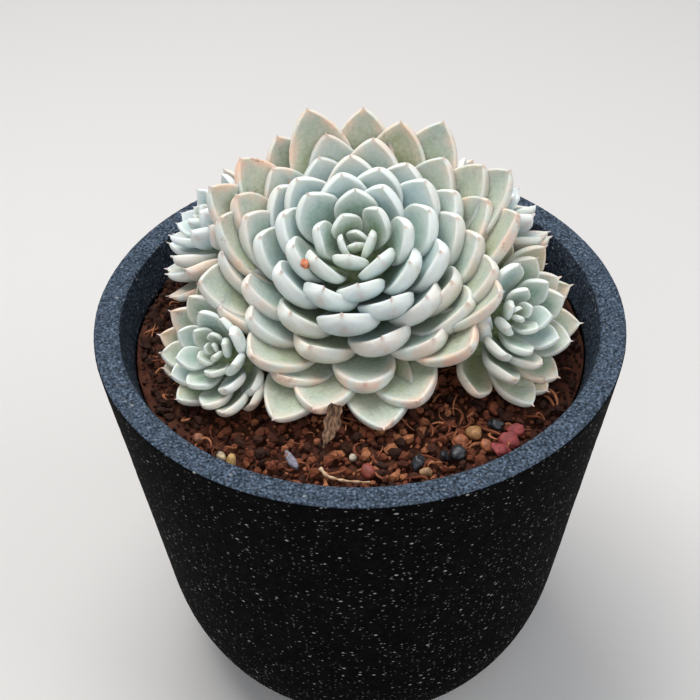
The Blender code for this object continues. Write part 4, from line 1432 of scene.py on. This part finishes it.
def make_dry_leaf():
    """The withered leaf that hangs from under the large rosette to the soil."""
    rows, columns = 22, 9
    top = Vector((*DRY_LEAF_TOP, SOIL_TOP + DRY_LEAF_RISE))
    low = Vector((*DRY_LEAF_LOW, SOIL_TOP + DRY_LEAF_END_RISE))
    run = low - top
    across = Vector((run.y, -run.x, 0.0)).normalized()
    up = across.cross(run).normalized()
    points = []
    for side in (1.0, -1.0):
        for row in range(rows):
            t = row / (rows - 1)
            half = DRY_LEAF_HALF * math.sin(math.pi * min(1.0, 0.12 + 0.62 * t)) * (1 - t) ** 0.75
            half = max(half * (1 + 0.16 * math.sin(19 * t)), 0.00025)
            sag = DRY_LEAF_SAG * math.sin(math.pi * t)
            for column in range(columns):
                s = column / (columns - 1) * 2 - 1
                crumple = DRY_LEAF_CRUMPLE * math.sin(7 * s + 9 * t)
                fold = DRY_LEAF_FOLD * (1 - t) * abs(s) ** 1.4 + crumple
                thick = side * DRY_LEAF_THICKNESS * (1 - s * s) ** 0.5
                points.append(top + run * t + across * (s * half) + up * (fold + thick - sag))
    front = grid_faces(rows, columns, closed=False)
    back = [tuple(reversed(face)) for face in shifted(front, rows * columns)]
    rim = [row * columns for row in range(rows)] + [(rows - 1) * columns + k for k in range(1, columns)]
    rim += [row * columns + columns - 1 for row in range(rows - 2, -1, -1)]
    rim += list(range(columns - 2, 0, -1))
    shift = rows * columns
    edge = [(a, a + shift, b + shift, b) for a, b in zip(rim, rim[1:] + rim[:1])]
    finish = mottled("withered leaf", 0.0014, 4.0, (0.35, 0.65), (0.050, 0.024, 0.012),
                     (0.24, 0.13, 0.07), 0.0004, stretch=(2.0, 0.6, 1.0), roughness=0.8)
    return add_piece("withered_leaf", points, front + back + edge, finish)


def make_slate():
    """The thin grey sliver of slate that leans among the granules."""
    a, b = (Vector((x, y, mound(x, y) + SLATE_LIFT)) for x, y in SLATE_ENDS)
    run = b - a
    across = Vector((run.y, -run.x, 0.0)).normalized()
    up = Vector((0.0, 0.0, 1.0))
    points = []
    for t, half in SLATE_RINGS:
        for s, lift in SLATE_SECTION:
            points.append(a + run * t + across * (s * half) + up * (lift + SLATE_RISE * t))
    faces = closed_tube(len(SLATE_RINGS), len(SLATE_SECTION))
    finish = pebble_finish("grey slate", (0.21, 0.20, 0.25), 0.6)
    return add_piece("slate_sliver", points, faces, finish, smooth=False)


def camera_frame():
    """The camera's place and its three directions: right, up and ahead."""
    place = Vector((0.0, -CAMERA_REACH * math.cos(CAMERA_RISE),
                    POT_HEIGHT + CAMERA_REACH * math.sin(CAMERA_RISE)))
    ahead = Vector((math.sin(CAMERA_YAW) * math.cos(CAMERA_PITCH),
                    math.cos(CAMERA_YAW) * math.cos(CAMERA_PITCH), -math.sin(CAMERA_PITCH)))
    level = Vector((math.cos(CAMERA_YAW), -math.sin(CAMERA_YAW), 0.0))
    up = level.cross(ahead)
    right = level * math.cos(CAMERA_ROLL) + up * math.sin(CAMERA_ROLL)
    return place, right, up * math.cos(CAMERA_ROLL) - level * math.sin(CAMERA_ROLL), ahead


def make_nub():
    """The small orange nub that sits between two leaves of the large rosette."""
    draw = np.random.default_rng(SEEDS["nub"])
    tree = tree_of([mesh_lists(bpy.data.objects["rosette_main_leaves"].data)])
    place, right, up, ahead = camera_frame()
    focal = CAMERA_LENS / SENSOR_WIDTH * PICTURE_SIZE
    across = (NUB_PIXEL[0] - PICTURE_SIZE / 2) / focal
    down = (NUB_PIXEL[1] - PICTURE_SIZE / 2) / focal
    towards = place + ahead + right * across - up * down
    spot, normal, _, _ = tree.ray_cast(place, (towards - place).normalized())
    points, faces = stone_points(draw, spot + normal * NUB_LIFT, NUB_RADIUS, NUB_SHAPE, 3)
    finish = mottled("orange nub", 0.0011, 3.0, (0.35, 0.65), (0.42, 0.10, 0.035), (0.72, 0.28, 0.14),
                     0.0003, roughness=0.55, Subsurface_Weight=0.2, Subsurface_Scale=0.001)
    return add_piece("orange_nub", points, faces, finish)


class SNOWBALL_OT_planter(bpy.types.Operator):
    """Build the speckled planter"""
    bl_idname = "snowball.planter"
    bl_label = "Planter"

    def execute(self, context):
        fasten(make_planter(), "pot", "pot")
        return {"FINISHED"}


class SNOWBALL_OT_soil(bpy.types.Operator):
    """Build the soil bed with its granules and fibres"""
    bl_idname = "snowball.soil"
    bl_label = "Soil"

    def execute(self, context):
        fasten(make_soil_bed(), "soil", "soil")
        fasten(make_granules(), "soil")
        fasten(make_fibres(), "soil")
        return {"FINISHED"}


class SNOWBALL_OT_stones(bpy.types.Operator):
    """Lay the single pebbles and chips"""
    bl_idname = "snowball.stones"
    bl_label = "Stones"

    def execute(self, context):
        draw = np.random.default_rng(SEEDS["stones"])
        for name, (spot, radius, colour) in PEBBLES.items():
            finish = pebble_finish(name.replace("_", " "), colour, 0.6)
            fasten(make_stone(name, spot, radius, finish, draw, PEBBLE_SHAPE), "soil")
        for name, colour, roughness, shape, stones in (
                ("red_chip", (0.30, 0.045, 0.045), 0.7, CHIP_SHAPE, RED_CHIPS),
                ("black_stone", (0.020, 0.023, 0.029), 0.40, BLACK_SHAPE, BLACK_STONES)):
            finish = pebble_finish(name.replace("_", " "), colour, roughness)
            for number, (spot, radius) in enumerate(stones):
                fasten(make_stone(f"{name}_{number}", spot, radius, finish, draw, shape), "soil")
        return {"FINISHED"}


class SNOWBALL_OT_litter(bpy.types.Operator):
    """Lay the withered leaf, the dry root and the slate sliver"""
    bl_idname = "snowball.litter"
    bl_label = "Litter"

    def execute(self, context):
        for piece in (make_dry_leaf(), make_root(), make_slate()):
            fasten(piece, "soil")
        return {"FINISHED"}


class SNOWBALL_OT_large_rosette(bpy.types.Operator):
    """Build the large rosette"""
    bl_idname = "snowball.large_rosette"
    bl_label = "Large rosette"

    def execute(self, context):
        finish = leaf_finish(*LEAF_FINISHES["leaf"])
        fasten(make_rosette(MAIN, finish, SEEDS["rosette"]), "leaf", "rosette_main")
        return {"FINISHED"}


class SNOWBALL_OT_offsets(bpy.types.Operator):
    """Build the four offsets"""
    bl_idname = "snowball.offsets"
    bl_label = "Offsets"

    def execute(self, context):
        finishes = {kind: leaf_finish(*LEAF_FINISHES[kind]) for kind in ("young_leaf", "blue_leaf")}
        for number, head in enumerate(HEADS[1:]):
            piece = make_rosette(head, finishes[head["finish"]], SEEDS["offsets"] + number)
            fasten(piece, head["finish"], head["name"])
        return {"FINISHED"}


class SNOWBALL_OT_stems(bpy.types.Operator):
    """Build the stems between the soil and the rosettes"""
    bl_idname = "snowball.stems"
    bl_label = "Stems"

    def execute(self, context):
        fasten(make_stems(), "leaf")
        return {"FINISHED"}


class SNOWBALL_OT_nub(bpy.types.Operator):
    """Set the orange nub between two leaves"""
    bl_idname = "snowball.nub"
    bl_label = "Orange nub"

    def execute(self, context):
        fasten(make_nub(), "leaf")
        return {"FINISHED"}


class SNOWBALL_OT_stage(bpy.types.Operator):
    """Set the floor, the lights and the camera"""
    bl_idname = "snowball.stage"
    bl_label = "Stage"

    def execute(self, context):
        settings = context.scene.snowball_stage
        finish = Finish("pale floor", roughness=0.8)
        finish.colour(settings.floor)
        half = FLOOR_HALF
        corners = [(-half, -half, 0.0), (half, -half, 0.0), (half, half, 0.0), (-half, half, 0.0)]
        add_piece("floor", corners, [(0, 1, 2, 3)], finish)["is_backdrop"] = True
        world = bpy.data.worlds.new("studio")
        context.scene.world = world
        world.use_nodes = True
        sky = world.node_tree.nodes["Background"]
        sky.inputs[0].default_value = SKY_COLOUR
        sky.inputs[1].default_value = settings.fill
        for name, (place, size, share, colour) in LAMPS.items():
            lamp = bpy.data.lights.new(name, "AREA")
            lamp.energy = settings.key * share
            lamp.size = size
            lamp.color = colour
            light = bpy.data.objects.new(name, lamp)
            light.location = place
            aim = Vector(LAMP_AIM) - light.location
            light.rotation_euler = aim.to_track_quat("-Z", "Y").to_euler()
            context.scene.collection.objects.link(light)
        place, right, up, ahead = camera_frame()
        camera = bpy.data.objects.new("camera", bpy.data.cameras.new("camera"))
        camera.data.lens = CAMERA_LENS
        camera.data.sensor_width = SENSOR_WIDTH
        camera.data.clip_start = NEAREST_SEEN
        camera.matrix_world = Matrix(((right.x, up.x, -ahead.x, place.x),
                                      (right.y, up.y, -ahead.y, place.y),
                                      (right.z, up.z, -ahead.z, place.z),
                                      (0.0, 0.0, 0.0, 1.0)))
        context.scene.collection.objects.link(camera)
        context.scene.camera = camera
        context.scene.view_settings.view_transform = "Standard"
        return {"FINISHED"}


OPERATORS = (SNOWBALL_OT_planter, SNOWBALL_OT_soil, SNOWBALL_OT_stones, SNOWBALL_OT_litter,
             SNOWBALL_OT_large_rosette, SNOWBALL_OT_offsets, SNOWBALL_OT_stems, SNOWBALL_OT_nub,
             SNOWBALL_OT_stage)
SETTINGS = {
    "snowball_leaf": LeafSettings,
    "snowball_planter": PlanterSettings,
    "snowball_soil": SoilSettings,
    "snowball_stage": StageSettings,
}


class SNOWBALL_PT_sidebar(bpy.types.Panel):
    """Buttons and settings of the potted snowball"""
    bl_label = "Potted Mexican Snowball"
    bl_idname = "SNOWBALL_PT_sidebar"
    bl_space_type = "VIEW_3D"
    bl_region_type = "UI"
    bl_category = "Snowball"

    def draw(self, context):
        for operator in OPERATORS:
            self.layout.operator(operator.bl_idname)
        for name, kind in SETTINGS.items():
            box = self.layout.box()
            for key in kind.__annotations__:
                box.prop(getattr(context.scene, name), key)


def register():
    """Make the settings, the operators and the panel known."""
    for kind in (*SETTINGS.values(), *OPERATORS, SNOWBALL_PT_sidebar):
        bpy.utils.register_class(kind)
    for name, kind in SETTINGS.items():
        setattr(bpy.types.Scene, name, PointerProperty(type=kind))


def unregister():
    """Take them out again."""
    for name in SETTINGS:
        delattr(bpy.types.Scene, name)
    for kind in (SNOWBALL_PT_sidebar, *reversed(OPERATORS), *reversed(SETTINGS.values())):
        bpy.utils.unregister_class(kind)


def main():
    """Build every piece in order."""
    register()
    bpy.ops.snowball.stage()
    bpy.ops.snowball.planter()
    bpy.ops.snowball.soil()
    bpy.ops.snowball.stones()
    bpy.ops.snowball.litter()
    bpy.ops.snowball.large_rosette()
    bpy.ops.snowball.offsets()
    bpy.ops.snowball.stems()
    bpy.ops.snowball.nub()
    sizes = {"frame": FRAME_BOUNDS, "model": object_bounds()}
    sizes = {key: [list(corner) for corner in corners] for key, corners in sizes.items()}


if __name__ == "__main__":
    main()
